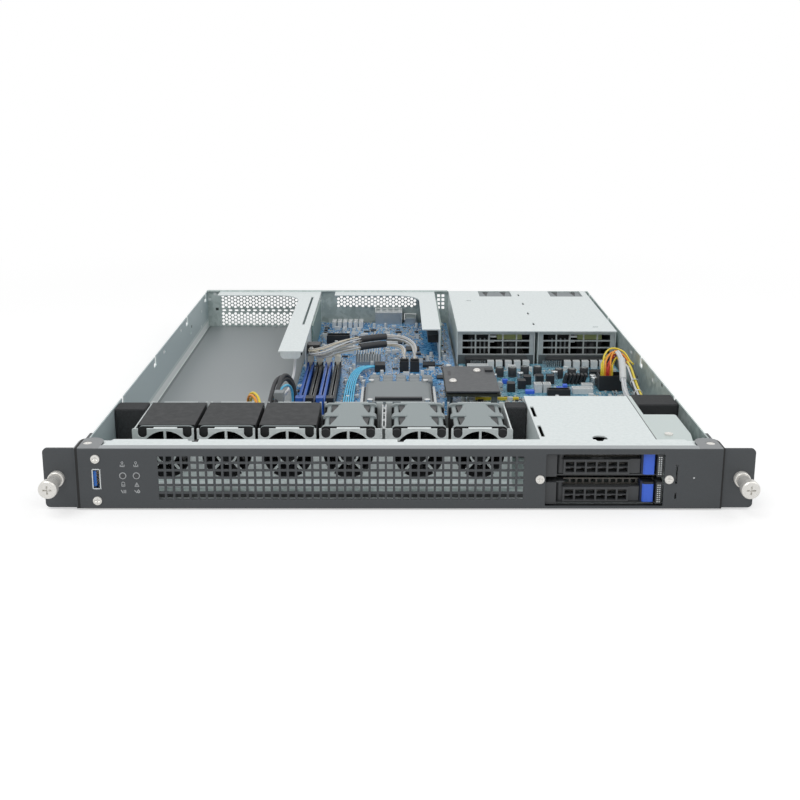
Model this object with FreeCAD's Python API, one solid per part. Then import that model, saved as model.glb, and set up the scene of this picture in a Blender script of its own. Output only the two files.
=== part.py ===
import FreeCAD, Part
import math
import os
from FreeCAD import Vector

# A 1U rack server for a 19-inch rack, with its top cover off.
# Millimetres. X runs to the right seen from the front, Y to the rear, Z up.
# The origin is the centre of the chassis underside.

# ---- envelope and sheet metal
EAR_SPAN = 482.6            # over both rack ears
THUMBSCREW_SPACING = 465.1  # between the two rack screw axes
PANEL_WIDTH = 440.0
BODY_WIDTH = 432.0
HEIGHT = 43.5
DEPTH = 520.0
STEEL = 1.0                 # chassis, bracket and cage sheet
PANEL_SHEET = 1.2           # front panel
EAR_SHEET = 2.0
GAP = 0.3                   # clearance round a piece that lifts, slides or is squeezed
RUNNING = 0.06              # radial clearance of a turning fit
SCREW_R = 1.5               # M3 shank
SCREW_HOLE_R = 1.6
SCREW_HEAD_R = 3.0
SCREW_HEAD = 1.3
RAIL_HOLE_R = 2.1           # for the slide rails of the rack
RAIL_HOLE_SPACING = 300.0
WALL_HOLE_R = 1.5

# ---- front panel
LIP = 6.5                   # top lip, front to back
FOOT = 22.0                 # bottom lip, front to back
TAB_WIDTH = 17.0            # rounded corner tabs of the top lip
TAB_DEPTH = 22.0
TAB_SCREW_IN = 7.0          # tab screw, in from the panel's end
VENT_COLUMNS = 45
VENT_ROWS = 6
VENT_HOLE = 4.0
VENT_PITCH_X = 5.54
VENT_PITCH_Z = 5.38
VENT_LEFT = -161.7          # centre of the first column
VENT_BOTTOM = 8.9           # centre of the lowest row
TAG_SLOT_X = 188.0
TAG_SLOT_WIDTH = 1.3

# ---- rack ears and thumbscrews
EAR_RADIUS = 3.0
EAR_FLANGE = 36.0           # side flange, front to back
FERRULE_R = 5.4
FERRULE_LENGTH = 4.2
KNOB_R = 6.2
KNOB_LENGTH = 6.0
BARREL_R = 4.5
THUMBSCREW_REACH = 22.0     # ear face to knob face
THREAD_R = 2.5              # M5
NECK_R = 2.1                # the thread cannot pass the ferrule, so the screw stays captive
THREAD_PAST_EAR = 5.0

# ---- front input and output
IO_X = -205.5               # socket centre
IO_BOARD_LEFT = -213.0
IO_BOARD_RIGHT = -170.0
IO_BOARD_BACK = 12.0        # board face behind the front panel's face
USB_WIDTH = 5.9
USB_TALL = 14.5
USB_Z = 21.4
BUTTON_R = 1.7
BUTTON_Z = 23.9
POWER_X = -187.5
ID_X = -178.3
BUTTON_PROUD = 0.5
BUTTON_TRAVEL = 0.6
SWITCH = 6.0                # square body of a tact switch

# ---- boards
BOARD = 1.6
STANDOFF = 6.5
STANDOFF_R = 2.8

# ---- fans
FAN_SIZE = 40.0
FAN_LENGTH = 56.0
FAN_FRONT = -210.0
FAN_PITCH = 43.7
FAN_BREAK = 7.1             # extra space between the fourth and fifth fan
FAN_FIRST_X = -167.7
FAN_BORE_R = 18.6
FAN_BODY_R = 21.4
FAN_FLANGE = 3.8
FAN_HOLE_OFFSET = 16.0
HUB_R = 9.0
SHAFT_R = 1.5
BLADE_CHORD = 15.0
BLADE_THICK = 1.0
BLADE_TILT = 38.0
FRONT_BLADES = 7
REAR_BLADES = 5
GUARD_RING_R = 6.7
GUARD_WIRE = 1.4
GUARD_BAR = 1.8
PIN_HEAD_R = 3.7
PIN_STEM_R = 2.6

# ---- drive bay
BAY_LEFT = 97.5
BAY_RIGHT = 181.4
BAY_REAR = -138.0
TRAY_HEIGHT = 15.8
TRAY_PITCH = 20.0
TRAY_BOTTOM = 2.5
TRAY_LENGTH = 105.0
TRAY_SHEET = 1.2
TRAY_RAIL = 3.4
TRAY_RAIL_TALL = 9.0
TRAY_FRONT = 2.5            # tray face behind the front panel's face
TRAY_HEAD = 10.0            # moulded front, front to back
BLOCK_WIDTH = 7.4           # solid left end of the tray's front
GASKET_WIDTH = 4.2          # sprung strip at the right end
LEVER_THICK = 5.0
LEVER_FACE = 1.4            # raised window frame
LEVER_TALL = 10.4
LEVER_HANG = 1.4            # the free end is this much thinner
WINDOW_RIM = 1.6            # frame above the windows
LEVER_WINDOWS = 6
WINDOW_WIDTH = 6.0
WINDOW_TALL = 7.6
WINDOW_PITCH = 7.3
LATCH_WIDTH = 9.0
LATCH_TRAVEL = 1.2
SHELF_DEPTH = 62.0
SHELF_REACH = 25.0          # side shelf, beside the cage

# ---- power supplies
PSU_WIDTH = 73.5
PSU_TALL = 39.6
PSU_LENGTH = 185.0
PSU_PITCH = 78.7
PSU_LEFT_X = 95.4
PSU_SHEET = 1.0
PSU_CAGE_WALL = 0.8
PSU_FRONT = 76.0
PSU_CAGE_LIP = 3.5          # the cage's top reaches this far forward of its walls
GRILLE_LOW = 18.0
GRILLE_HIGH = 38.8
GRILLE_COLUMNS = 5
GRILLE_ROWS = 3
GRILLE_BAR = 1.3
INLET_WIDTH = 27.0
INLET_TALL = 20.0
INLET_DEEP = 16.0
HANDLE_REACH = 14.0
RELEASE_TRAVEL = 2.0

# ---- risers
RISER_LEFT_WALL = -87.0
RISER_LEFT_BAR = 21.3
RISER_LEFT_FRONT = -4.2
RISER_LEFT_END = -200.0
RISER_RIGHT_WALL = 40.5
RISER_RIGHT_BAR = 17.0
RISER_RIGHT_FRONT = 79.0
RISER_RIGHT_END = -70.0
RISER_CROSS = 23.0          # rear bar, front to back
RISER_SETBACK = 36.0        # the left wall starts this far behind its bar's front end
RISER_FILLET = 26.0
RISER_WALL_FOOT = 2.0       # above the board

# ---- main board and what stands on it
MAIN_LEFT = -92.0
MAIN_RIGHT = 55.0
MAIN_FRONT = -135.0
MAIN_REAR = 245.0
PORT_DEEP = 12.0
PORT_WALL = 1.2
PORT_SHEET = 0.9
POWER_LEFT = 59.0
POWER_RIGHT = 211.0
POWER_FRONT = -126.0
POWER_REAR = 74.0
CPU_X = 0.0
CPU_Y = -51.0
CPU_WIDTH = 57.0
CPU_LENGTH = 66.0
DIMM_FIRST_X = -82.5
DIMM_PITCH = 8.5
DIMM_WIDTH = 6.2
DIMM_FRONT = -92.0
DIMM_REAR = 48.0
DIMM_TALL = 8.8
DIMM_SLOT = 1.5
DIMM_LATCH_SWING = 35.0
CHEEK = 1.2
MEZZ_LEFT = 39.5
MEZZ_RIGHT = 85.5
MEZZ_FRONT = -81.0
MEZZ_REAR = -3.0
MEZZ_RISE = 15.0
PLUG_TALL = 12.4            # cable plugs beside the memory

# ---- values that follow from the ones above
FRONT = -DEPTH / 2
REAR = DEPTH / 2
HALF_PANEL = PANEL_WIDTH / 2
HALF_BODY = BODY_WIDTH / 2
WALL_IN = HALF_BODY - STEEL
WALL_TOP = HEIGHT - PANEL_SHEET - GAP
REAR_FACE = REAR - STEEL
PAN_FRONT = FRONT + FOOT
WEB_FRONT = FRONT + LIP + GAP
SHEET_TOP = HEIGHT - 1.0    # upper face of every cage and bracket
UNDER_TOP = SHEET_TOP - STEEL
MID_Z = HEIGHT / 2
EAR_FRONT = FRONT + PANEL_SHEET
EAR_BACK = EAR_FRONT + EAR_SHEET
KNOB_FACE = EAR_FRONT - THUMBSCREW_REACH
BOARD_Z = STEEL + STANDOFF
BOARD_TOP = BOARD_Z + BOARD
FAN_BASE = 2 * STEEL + 0.1
FAN_Z = FAN_BASE + FAN_SIZE / 2
FAN_REAR = FAN_FRONT + FAN_LENGTH
FAN_XS = [FAN_FIRST_X + FAN_PITCH * i + (FAN_BREAK if i > 3 else 0) for i in range(6)]
BRACKET_FRONT = FAN_FRONT - 3.3 - STEEL
BRACKET_REAR = FAN_REAR + 2.0
BRACKET_LEFT = FAN_XS[0] - FAN_PITCH / 2 - 1.5
BRACKET_RIGHT = FAN_XS[5] + FAN_PITCH / 2 + 1.5
BRACKET_TOP = FAN_BASE + FAN_SIZE - 0.4
TRAY_FACE = FRONT + TRAY_FRONT
TRAY_BACK = TRAY_FACE + TRAY_HEAD
TRAY_END = TRAY_FACE + TRAY_LENGTH
TRAY_LEFT = BAY_LEFT + STEEL + 1.0
TRAY_RIGHT = BAY_RIGHT - STEEL - 1.0
TRAY_ZS = [TRAY_BOTTOM, TRAY_BOTTOM + TRAY_PITCH]
LEVER_PIN_X = TRAY_LEFT + BLOCK_WIDTH + 0.4 + LEVER_THICK / 2
LEVER_PIN_Y = TRAY_BACK - TRAY_SHEET - 0.6 - LEVER_THICK / 2
GASKET_LEFT = TRAY_RIGHT - GASKET_WIDTH
LATCH_RIGHT = GASKET_LEFT - GAP - LATCH_TRAVEL
LATCH_LEFT = LATCH_RIGHT - LATCH_WIDTH
LEVER_RIGHT = LATCH_LEFT - GAP
PSU_BASE = STEEL + 0.4
PSU_TOP = PSU_BASE + PSU_TALL
PSU_REAR = PSU_FRONT + PSU_LENGTH
PSU_XS = [PSU_LEFT_X, PSU_LEFT_X + PSU_PITCH]
PSU_HALF = PSU_WIDTH / 2
CAGE_LEFT = PSU_XS[0] - PSU_HALF - GAP - PSU_CAGE_WALL
CAGE_RIGHT = PSU_XS[1] + PSU_HALF + GAP + PSU_CAGE_WALL
CAGE_FRONT = PSU_FRONT - 0.5
DIMM_XS = [DIMM_FIRST_X + DIMM_PITCH * i for i in range(4)]
DIMM_PIN_Y = DIMM_REAR - 4.5
DIMM_PIN_Z = BOARD_TOP + 4.5
EAR_SCREWS = [(EAR_BACK + 16, MID_Z - 10), (EAR_BACK + 16, MID_Z + 10), (EAR_BACK + 28, MID_Z)]
SHELF_TOP = UNDER_TOP - 0.6
PLUG_TOP = BOARD_TOP + PLUG_TALL
BRACKET_BACK = BRACKET_REAR + STEEL

PLANES = {
    "top": (lambda a, b, c: Vector(a, b, c), Vector(0, 0, 1)),
    "front": (lambda a, b, c: Vector(a, c, b), Vector(0, 1, 0)),
    "side": (lambda a, b, c: Vector(c, a, b), Vector(1, 0, 0)),
}
AXES = {"x": Vector(1, 0, 0), "y": Vector(0, 1, 0), "z": Vector(0, 0, 1)}


# ---- building blocks
def block(x0, x1, y0, y1, z0, z1):
    return Part.makeBox(x1 - x0, y1 - y0, z1 - z0, Vector(x0, y0, z0))


def rod(x, y, z, radius, length, axis):
    return Part.makeCylinder(radius, length, Vector(x, y, z), AXES[axis])


def rect(a0, a1, b0, b1, radius=0.0):
    return [(a0, b0, radius), (a1, b0, radius), (a1, b1, radius), (a0, b1, radius)]


def hexagon(a, b, across):
    """A hexagon with two upright sides, by its width across the flats."""
    corner = across / math.sqrt(3)
    return [(a + corner * math.sin(k * math.pi / 3), b + corner * math.cos(k * math.pi / 3))
            for k in range(6)]


def rounded_edges(points, closed):
    """Straight edges between points, with a tangent arc at each corner that has a radius."""
    count = len(points)
    edges = []
    last = None
    first = None
    for k, (point, radius) in enumerate(points):
        inner = closed or 0 < k < count - 1
        start = end = point
        arc = None
        if radius > 0 and inner:
            back = (points[k - 1][0] - point).normalize()
            ahead = (points[(k + 1) % count][0] - point).normalize()
            half = back.getAngle(ahead) / 2
            middle = (back + ahead).normalize()
            reach = radius / math.tan(half)
            centre = point + middle * (radius / math.sin(half))
            start = point + back * reach
            end = point + ahead * reach
            arc = Part.Arc(start, centre - middle * radius, end).toShape()
        if last is None:
            first = start
        elif last.distanceToPoint(start) > 1e-6:
            edges.append(Part.LineSegment(last, start).toShape())
        if arc:
            edges.append(arc)
        last = end
    if closed and last.distanceToPoint(first) > 1e-6:
        edges.append(Part.LineSegment(last, first).toShape())
    return edges


def outline(loop, place, normal, level):
    """A closed wire: a list of (a, b) or (a, b, radius) corners, or one circle ((a, b), radius)."""
    if isinstance(loop, tuple):
        (a, b), radius = loop
        return Part.Wire([Part.Circle(place(a, b, level), normal, radius).toShape()])
    corners = [(place(p[0], p[1], level), p[2] if len(p) > 2 else 0.0) for p in loop]
    return Part.Wire(rounded_edges(corners, True))


def sheet(plane, level, thickness, loop, holes=()):
    """A flat plate: its outline at the given level, less its holes, given a thickness."""
    place, normal = PLANES[plane]
    wires = [outline(each, place, normal, level) for each in (loop, *holes)]
    return Part.makeFace(wires, "Part::FaceMakerBullseye").extrude(normal * thickness)


def joined(first, *rest):
    return first.multiFuse(list(rest)).removeSplitter() if rest else first


def less(shape, *tools):
    return shape.cut(list(tools)) if tools else shape


def mirrored(shape):
    return shape.mirror(Vector(0, 0, 0), AXES["x"])


def moved(shape, x=0.0, y=0.0, z=0.0):
    copy = shape.copy()
    copy.translate(Vector(x, y, z))
    return copy


def tube(route, radius):
    """A round cable along straight runs and tangent arcs, with arcs as large as their runs allow."""
    points = [Vector(*p) for p in route]
    corners = [(points[0], 0.0)]
    for back, point, ahead in zip(points, points[1:], points[2:]):
        turn = (point - back).getAngle(ahead - point)
        run = min(point.distanceToPoint(back), point.distanceToPoint(ahead))
        corners.append((point, 0.45 * run / math.tan(turn / 2)))
    corners.append((points[-1], 0.0))
    path = Part.Wire(rounded_edges(corners, False))
    ring = Part.Wire([Part.Circle(points[0], points[1] - points[0], radius).toShape()])
    solid = path.makePipeShell([ring], True, False)
    expected = math.pi * radius ** 2 * path.Length
    tightest = min(c[1] for c in corners[1:-1])
    print(f"  cable r {radius}: length {path.Length:.0f}, tightest arc {tightest:.1f}, "
          f"volume ratio {solid.Volume / expected:.3f}")
    return solid


def save(name, *shapes):
    shape = Part.makeCompound(list(shapes)) if len(shapes) > 1 else shapes[0]
    good = shape.isValid() and all(s.isClosed() and s.Volume > 0 for s in shape.Solids)
    print(f"{name}: {len(shape.Solids)} solids, {'ok' if good else 'BAD'}")
    shape.exportStep(f"parts/{name}.step")


# ---- chassis
def side_wall_profile():
    """The wall seen from the side, with hooked notches for the cover's studs along its top."""
    corners = [(EAR_FRONT, 0), (REAR_FACE, 0), (REAR_FACE, WALL_TOP)]
    for y in (REAR - 14, REAR - 126, REAR - 280, REAR - 400):
        corners += [(y + 3, WALL_TOP), (y + 3, WALL_TOP - 9, 2), (y - 8, WALL_TOP - 9, 2),
                    (y - 8, WALL_TOP - 5), (y - 3, WALL_TOP - 5), (y - 3, WALL_TOP)]
    corners.append((EAR_FRONT, WALL_TOP))
    return corners


def chassis_pan():
    floor = sheet("top", 0, STEEL, rect(-HALF_BODY, HALF_BODY, PAN_FRONT, REAR_FACE))
    holes = [((y, z), SCREW_HOLE_R) for y, z in EAR_SCREWS]
    holes += [((s * RAIL_HOLE_SPACING / 2, MID_Z), RAIL_HOLE_R) for s in (-1, 1)]
    holes += [((y, MID_Z + 14), WALL_HOLE_R) for y in (97, 22)]
    left = sheet("side", -HALF_BODY, STEEL, side_wall_profile(), holes)
    return joined(floor, left, mirrored(left))


def hex_field(x0, x1, z0, z1, across, pitch):
    """Hexagonal holes in staggered columns that fill a rectangle."""
    step = pitch * math.sqrt(3) / 2
    columns = int((x1 - x0) / step) + 1
    holes = []
    for c in range(columns):
        shift = pitch / 2 if c % 2 else 0.0
        rows = int((z1 - z0 - shift) / pitch) + 1
        for r in range(rows):
            holes.append(hexagon(x0 + c * step, z0 + shift + r * pitch, across))
    return holes


def rear_panel():
    bays = [rect(x - PSU_HALF - GAP, x + PSU_HALF + GAP, STEEL + 0.1, PSU_TOP + GAP, 0.5) for x in PSU_XS]
    holes = bays
    holes += hex_field(RISER_LEFT_END + 2, RISER_LEFT_WALL - 26, 24, 36, 3.1, 4.0)
    holes += hex_field(RISER_LEFT_END + 2, RISER_LEFT_WALL - 26, 4, 16, 3.1, 4.0)
    holes += [rect(x, x + 4.2, 18.9, 20.9, 0.9)
              for x in range(int(RISER_LEFT_END) + 1, int(RISER_LEFT_WALL) - 27, 7)]
    holes += hex_field(RISER_RIGHT_END + 3, RISER_RIGHT_WALL - 18, 25.4, 36.5, 3.1, 4.0)
    holes += [rect(45 + 5 * i, 48.2 + 5 * i, 22 + 4.6 * j, 25 + 4.6 * j) for i in range(2) for j in range(4)]
    holes += [rect(x0, x1, BOARD_TOP - 0.2, top) for x0, x1, top in port_windows()]
    face = sheet("front", REAR_FACE, STEEL, rect(-HALF_BODY, HALF_BODY, 0, SHEET_TOP), holes)
    rim = block(-WALL_IN, CAGE_LEFT - 1, REAR - 5, REAR, SHEET_TOP, HEIGHT)
    return joined(face, rim)


# ---- front panel, cross member, ears
def bay_window():
    return rect(TRAY_LEFT - 0.4, TRAY_RIGHT + 0.4, TRAY_ZS[0] - 0.5, HEIGHT - 4.1, 0.8)


def panel_screws():
    """The four pan heads on the front face."""
    bay_mid = TRAY_ZS[1] - 1.0
    return [(IO_X, USB_Z + 14.6), (IO_X, USB_Z - 15.4), (TRAY_LEFT - 4.2, bay_mid),
            (TRAY_RIGHT + 3.6, bay_mid)]


def tab_screws():
    return [(s * (HALF_PANEL - TAB_SCREW_IN), FRONT + TAB_DEPTH / 2) for s in (-1, 1)]


def bent_strip(low):
    """The lip and bend along the top or bottom edge of the front panel, cut from its side view."""
    top_edge = (HEIGHT, HEIGHT - PANEL_SHEET, HEIGHT - 3.2, LIP)
    edge, inner, band, reach = (0, PANEL_SHEET, 1.9, FOOT) if low else top_edge
    half = WALL_IN if low else HALF_PANEL
    profile = [(FRONT, band), (FRONT, edge, 1.0), (FRONT + reach, edge), (FRONT + reach, inner),
               (FRONT + PANEL_SHEET, inner, 0.3), (FRONT + PANEL_SHEET, band)]
    return sheet("side", -half, 2 * half, profile)


def front_panel():
    holes = [bay_window(), rect(IO_X - USB_WIDTH / 2 - 0.1, IO_X + USB_WIDTH / 2 + 0.1,
                                USB_Z - USB_TALL / 2 - 0.1, USB_Z + USB_TALL / 2 + 0.1)]
    for i in range(VENT_COLUMNS):
        for j in range(VENT_ROWS):
            x = VENT_LEFT + i * VENT_PITCH_X
            z = VENT_BOTTOM + j * VENT_PITCH_Z
            holes.append(rect(x - VENT_HOLE / 2, x + VENT_HOLE / 2, z - VENT_HOLE / 2, z + VENT_HOLE / 2))
    holes += [((x, BUTTON_Z), BUTTON_R + 0.2) for x in (POWER_X, ID_X)]
    holes += [(place, SCREW_HOLE_R) for place in panel_screws()]
    holes += [rect(TAG_SLOT_X - TAG_SLOT_WIDTH / 2, TAG_SLOT_X + TAG_SLOT_WIDTH / 2, z0, z1)
              for z0, z1 in ((MID_Z - 3.5, MID_Z + 10), (MID_Z - 14.5, MID_Z - 10))]
    holes.append(((TAG_SLOT_X + 12, MID_Z + 0.7), 0.7))
    face = sheet("front", FRONT, PANEL_SHEET, rect(-HALF_PANEL, HALF_PANEL, 1.9, HEIGHT - 3.2), holes)
    tab = sheet("top", HEIGHT - PANEL_SHEET, PANEL_SHEET,
                [(-HALF_PANEL, FRONT + LIP), (-HALF_PANEL + TAB_WIDTH, FRONT + LIP),
                 (-HALF_PANEL + TAB_WIDTH, FRONT + TAB_DEPTH, 8), (-HALF_PANEL, FRONT + TAB_DEPTH, 8)],
                [((-HALF_PANEL + TAB_SCREW_IN, FRONT + TAB_DEPTH / 2), SCREW_HEAD_R + 0.1)])
    toe = block(-HALF_PANEL, -WALL_IN, FRONT, FRONT + PANEL_SHEET, 0.3, 1.9)
    return joined(face, bent_strip(False), bent_strip(True), tab, mirrored(tab), toe, mirrored(toe))


def front_crossmember():
    """The bright cross member behind the panel: an upright web and a flange on top of it."""
    vent_right = VENT_LEFT + (VENT_COLUMNS - 1) * VENT_PITCH_X
    vent_top = VENT_BOTTOM + (VENT_ROWS - 1) * VENT_PITCH_Z
    holes = [rect(VENT_LEFT - 4, vent_right + 4, VENT_BOTTOM - 4, vent_top + 3),
             rect(BAY_LEFT - GAP, BAY_RIGHT + GAP, PANEL_SHEET + 0.5, HEIGHT - 3.5),
             rect(IO_X - 5.5, ID_X + 5, USB_Z - 9, USB_Z + 9)]
    holes += [(place, SCREW_HOLE_R) for place in panel_screws()[:2]]
    top = HEIGHT - PANEL_SHEET
    web = sheet("front", WEB_FRONT, STEEL, rect(-WALL_IN, WALL_IN, PANEL_SHEET, top - GAP), holes)
    half = HALF_PANEL - TAB_WIDTH - 1
    back = FRONT + 19
    loop = [(-half, WEB_FRONT), (half, WEB_FRONT), (half - 5, back), (-half + 5, back)]
    flange = sheet("top", HEIGHT - 1.1, STEEL, loop)
    notches = [Part.Face(outline([(x - 3.5, back + 1), (x - 2.2, back - 3.4), (x + 1.4, back - 3.4),
                                  (x + 3.5, back + 1)],
                                 *PLANES["top"], HEIGHT - 2)).extrude(Vector(0, 0, 3))
               for x in (-143, 1.5, 138.5)]
    step = block(-half, half, WEB_FRONT, WEB_FRONT + STEEL, top - GAP, HEIGHT - 1.1)
    ear = sheet("top", top - GAP - STEEL, STEEL, rect(-WALL_IN, -WALL_IN + TAB_WIDTH, WEB_FRONT,
                                                      FRONT + TAB_DEPTH - 2),
                [((-HALF_PANEL + TAB_SCREW_IN, FRONT + TAB_DEPTH / 2), SCREW_HOLE_R)])
    return joined(web, step, less(flange, *notches), ear, mirrored(ear))


def rack_ear():
    """The left ear: a plate behind the panel's end, bent back along the chassis side."""
    inner = -HALF_BODY
    outer = -EAR_SPAN / 2
    under_lip = HEIGHT - PANEL_SHEET - GAP
    loop = [(outer, 0.6, EAR_RADIUS), (-HALF_PANEL - 0.5, 0.6), (-HALF_PANEL - 0.5, PANEL_SHEET + GAP),
            (inner, PANEL_SHEET + GAP), (inner, under_lip), (-HALF_PANEL - 0.5, under_lip),
            (-HALF_PANEL - 0.5, HEIGHT - 0.5), (outer, HEIGHT - 0.5, EAR_RADIUS)]
    plate = sheet("front", EAR_FRONT, EAR_SHEET, loop, [((-THUMBSCREW_SPACING / 2, MID_Z), THREAD_R + 0.5)])
    flange = sheet("side", inner - EAR_SHEET, EAR_SHEET,
                   [(EAR_BACK, PANEL_SHEET + GAP), (EAR_BACK + EAR_FLANGE, PANEL_SHEET + GAP, 4),
                    (EAR_BACK + EAR_FLANGE, under_lip, 4), (EAR_BACK, under_lip)],
                   [((y, z), SCREW_HOLE_R) for y, z in EAR_SCREWS])
    return joined(plate, flange)


def thumbscrew():
    x = -THUMBSCREW_SPACING / 2
    barrel_end = EAR_FRONT - FERRULE_LENGTH - GAP
    knob = rod(x, KNOB_FACE, MID_Z, KNOB_R, KNOB_LENGTH, "y")
    knob = knob.makeChamfer(0.7, [e for e in knob.Edges if len(e.Vertexes) == 1])
    barrel = rod(x, KNOB_FACE + KNOB_LENGTH, MID_Z, BARREL_R, barrel_end - KNOB_FACE - KNOB_LENGTH, "y")
    neck = rod(x, barrel_end, MID_Z, NECK_R, EAR_BACK - barrel_end, "y")
    thread = rod(x, EAR_BACK, MID_Z, THREAD_R, THREAD_PAST_EAR, "y")
    cross = [block(x - 3, x + 3, KNOB_FACE - 1, KNOB_FACE + 2, MID_Z - 0.6, MID_Z + 0.6),
             block(x - 0.6, x + 0.6, KNOB_FACE - 1, KNOB_FACE + 2, MID_Z - 3, MID_Z + 3)]
    return less(joined(knob, barrel, neck, thread), *cross)


def ferrule():
    x = -THUMBSCREW_SPACING / 2
    body = rod(x, EAR_FRONT - FERRULE_LENGTH, MID_Z, FERRULE_R, FERRULE_LENGTH, "y")
    return less(body, rod(x, EAR_FRONT - FERRULE_LENGTH - 1, MID_Z, NECK_R + RUNNING, FERRULE_LENGTH + 2,
                          "y"))


def pan_screw(x, y, z, length, axis, out):
    """A screw whose head stands on a face; out is -1 or 1 along the axis, away from the work."""
    head_low = 0 if out > 0 else -SCREW_HEAD
    shank_low = -length if out > 0 else 0
    shift = {"x": (1, 0, 0), "y": (0, 1, 0), "z": (0, 0, 1)}[axis]
    head = rod(x + shift[0] * head_low, y + shift[1] * head_low, z + shift[2] * head_low, SCREW_HEAD_R,
               SCREW_HEAD, axis)
    rim = [e for e in head.Edges if len(e.Vertexes) == 1]
    far = max(rim, key=lambda e: out * getattr(e.CenterOfMass, axis))
    head = head.makeFillet(0.5, [far])
    shank = rod(x + shift[0] * shank_low, y + shift[1] * shank_low, z + shift[2] * shank_low, SCREW_R,
                length, axis)
    return joined(head, shank)


def panel_fasteners():
    web_reach = WEB_FRONT + STEEL + 1 - FRONT
    screws = [pan_screw(x, FRONT, z, web_reach if k < 2 else LIP - 1, "y", -1)
              for k, (x, z) in enumerate(panel_screws())]
    tab_floor = HEIGHT - PANEL_SHEET - GAP
    for x, y in tab_screws():
        screws.append(joined(rod(x, y, tab_floor, SCREW_HEAD_R, HEIGHT - tab_floor, "z"),
                             rod(x, y, tab_floor - 4, SCREW_R, 4, "z")))
    side = [pan_screw(-HALF_BODY - EAR_SHEET, y, z, EAR_SHEET + STEEL + 1, "x", -1) for y, z in EAR_SCREWS]
    screws += side + [mirrored(s) for s in side]
    screws += [ferrule(), mirrored(ferrule())]
    x, y = shelf_screw()
    screws.append(pan_screw(x, y, SHELF_TOP, 4, "z", 1))
    return screws


# ---- front input and output board
def front_io_board():
    face = FRONT + IO_BOARD_BACK
    board = block(IO_BOARD_LEFT, IO_BOARD_RIGHT, face, face + BOARD, PANEL_SHEET + 1, HEIGHT - 6)
    socket = block(IO_X - USB_WIDTH / 2, IO_X + USB_WIDTH / 2, FRONT + 0.1, face, USB_Z - USB_TALL / 2,
                   USB_Z + USB_TALL / 2)
    hollow = block(IO_X - USB_WIDTH / 2 + 0.4, IO_X + USB_WIDTH / 2 - 0.4, FRONT - 1, face - 2,
                   USB_Z - USB_TALL / 2 + 0.4, USB_Z + USB_TALL / 2 - 0.4)
    tongue = block(IO_X - 2.2, IO_X - 0.2, FRONT + 1.2, face - 1, USB_Z - 5.4, USB_Z + 5.4)
    switches = []
    for x in (POWER_X, ID_X):
        body = block(x - SWITCH / 2, x + SWITCH / 2, face - 3.6, face, BUTTON_Z - SWITCH / 2,
                     BUTTON_Z + SWITCH / 2)
        switches.append(body)
    posts = [rod(x, WEB_FRONT + STEEL, z, 2.2, face - WEB_FRONT - STEEL, "y")
             for x, z in ((IO_BOARD_RIGHT - 3, 6), (IO_BOARD_RIGHT - 3, HEIGHT - 10))]
    return joined(board, less(socket, hollow), tongue, *switches, *posts)


def button(x):
    switch_top = FRONT + IO_BOARD_BACK - 3.6
    cap = rod(x, FRONT - BUTTON_PROUD, BUTTON_Z, BUTTON_R,
              switch_top - GAP - BUTTON_TRAVEL - FRONT + BUTTON_PROUD, "y")
    collar = rod(x, FRONT + PANEL_SHEET + GAP, BUTTON_Z, BUTTON_R + 1, 1.2, "y")
    return joined(cap, collar)


# ---- fans and their bracket
def fan_section(y0, y1, radius):
    """A slice of the fan's duct: a drum of the given radius with its four sides cut flat."""
    half = FAN_SIZE / 2
    drum = rod(0, y0, 0, radius, y1 - y0, "y")
    return drum.common(block(-half, half, y0, y1, -half, half))


def fan_housing():
    half = FAN_SIZE / 2
    middle = FAN_LENGTH / 2
    places = (0, middle - FAN_FLANGE, middle + 0.2, FAN_LENGTH - FAN_FLANGE)
    flanges = [sheet("front", y, FAN_FLANGE, rect(-half, half, -half, half, 3.5)) for y in places]
    posts = [rod(sx * FAN_HOLE_OFFSET, 1, sz * FAN_HOLE_OFFSET, 2.4, FAN_LENGTH - 2, "y")
             for sx in (-1, 1) for sz in (-1, 1)]
    solid = joined(fan_section(0, FAN_LENGTH, FAN_BODY_R), *flanges, *posts)
    solid = less(solid, rod(0, -1, 0, FAN_BORE_R, FAN_LENGTH + 2, "y"))
    hub = rod(0, middle - 2.5, 0, HUB_R, 5, "y")
    struts = [sheet("front", middle - 2, 4, [(HUB_R - 1, -0.8), (FAN_BORE_R + 0.4, -0.8),
                                             (FAN_BORE_R + 0.4, 0.8),
                                             (HUB_R - 1, 0.8)]) for _ in range(4)]
    for k, strut in enumerate(struts):
        strut.rotate(Vector(0, 0, 0), AXES["y"], 20 + 90 * k)
    shaft = rod(0, 6, 0, SHAFT_R, FAN_LENGTH - 12, "y")
    return joined(solid, hub, *struts, shaft)


def fan_rotor(y0, blades, tilt, closed_end):
    """A hub cup with tilted blades that runs on the fixed shaft; closed_end is its capped end's Y."""
    length = FAN_LENGTH / 2 - 2.5 - 4.5
    hub = rod(0, y0, 0, HUB_R, length, "y")
    wings = []
    for k in range(blades):
        wing = block(-BLADE_CHORD / 2, BLADE_CHORD / 2, -BLADE_THICK / 2, BLADE_THICK / 2, HUB_R - 1.5,
                     FAN_BORE_R)
        wing.rotate(Vector(0, 0, 0), AXES["z"], 90 - tilt)
        wing.translate(Vector(0, y0 + length / 2, 0))
        wing.rotate(Vector(0, 0, 0), AXES["y"], 360 / blades * k)
        wings.append(wing)
    sweep = rod(0, y0, 0, FAN_BORE_R - 0.5, length, "y")
    wheel = joined(hub, *wings).common(sweep)
    bore = rod(0, y0 - 1 if closed_end > y0 else y0 + 1.5, 0, SHAFT_R + RUNNING, length - 0.5, "y")
    return less(wheel, bore)


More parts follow.
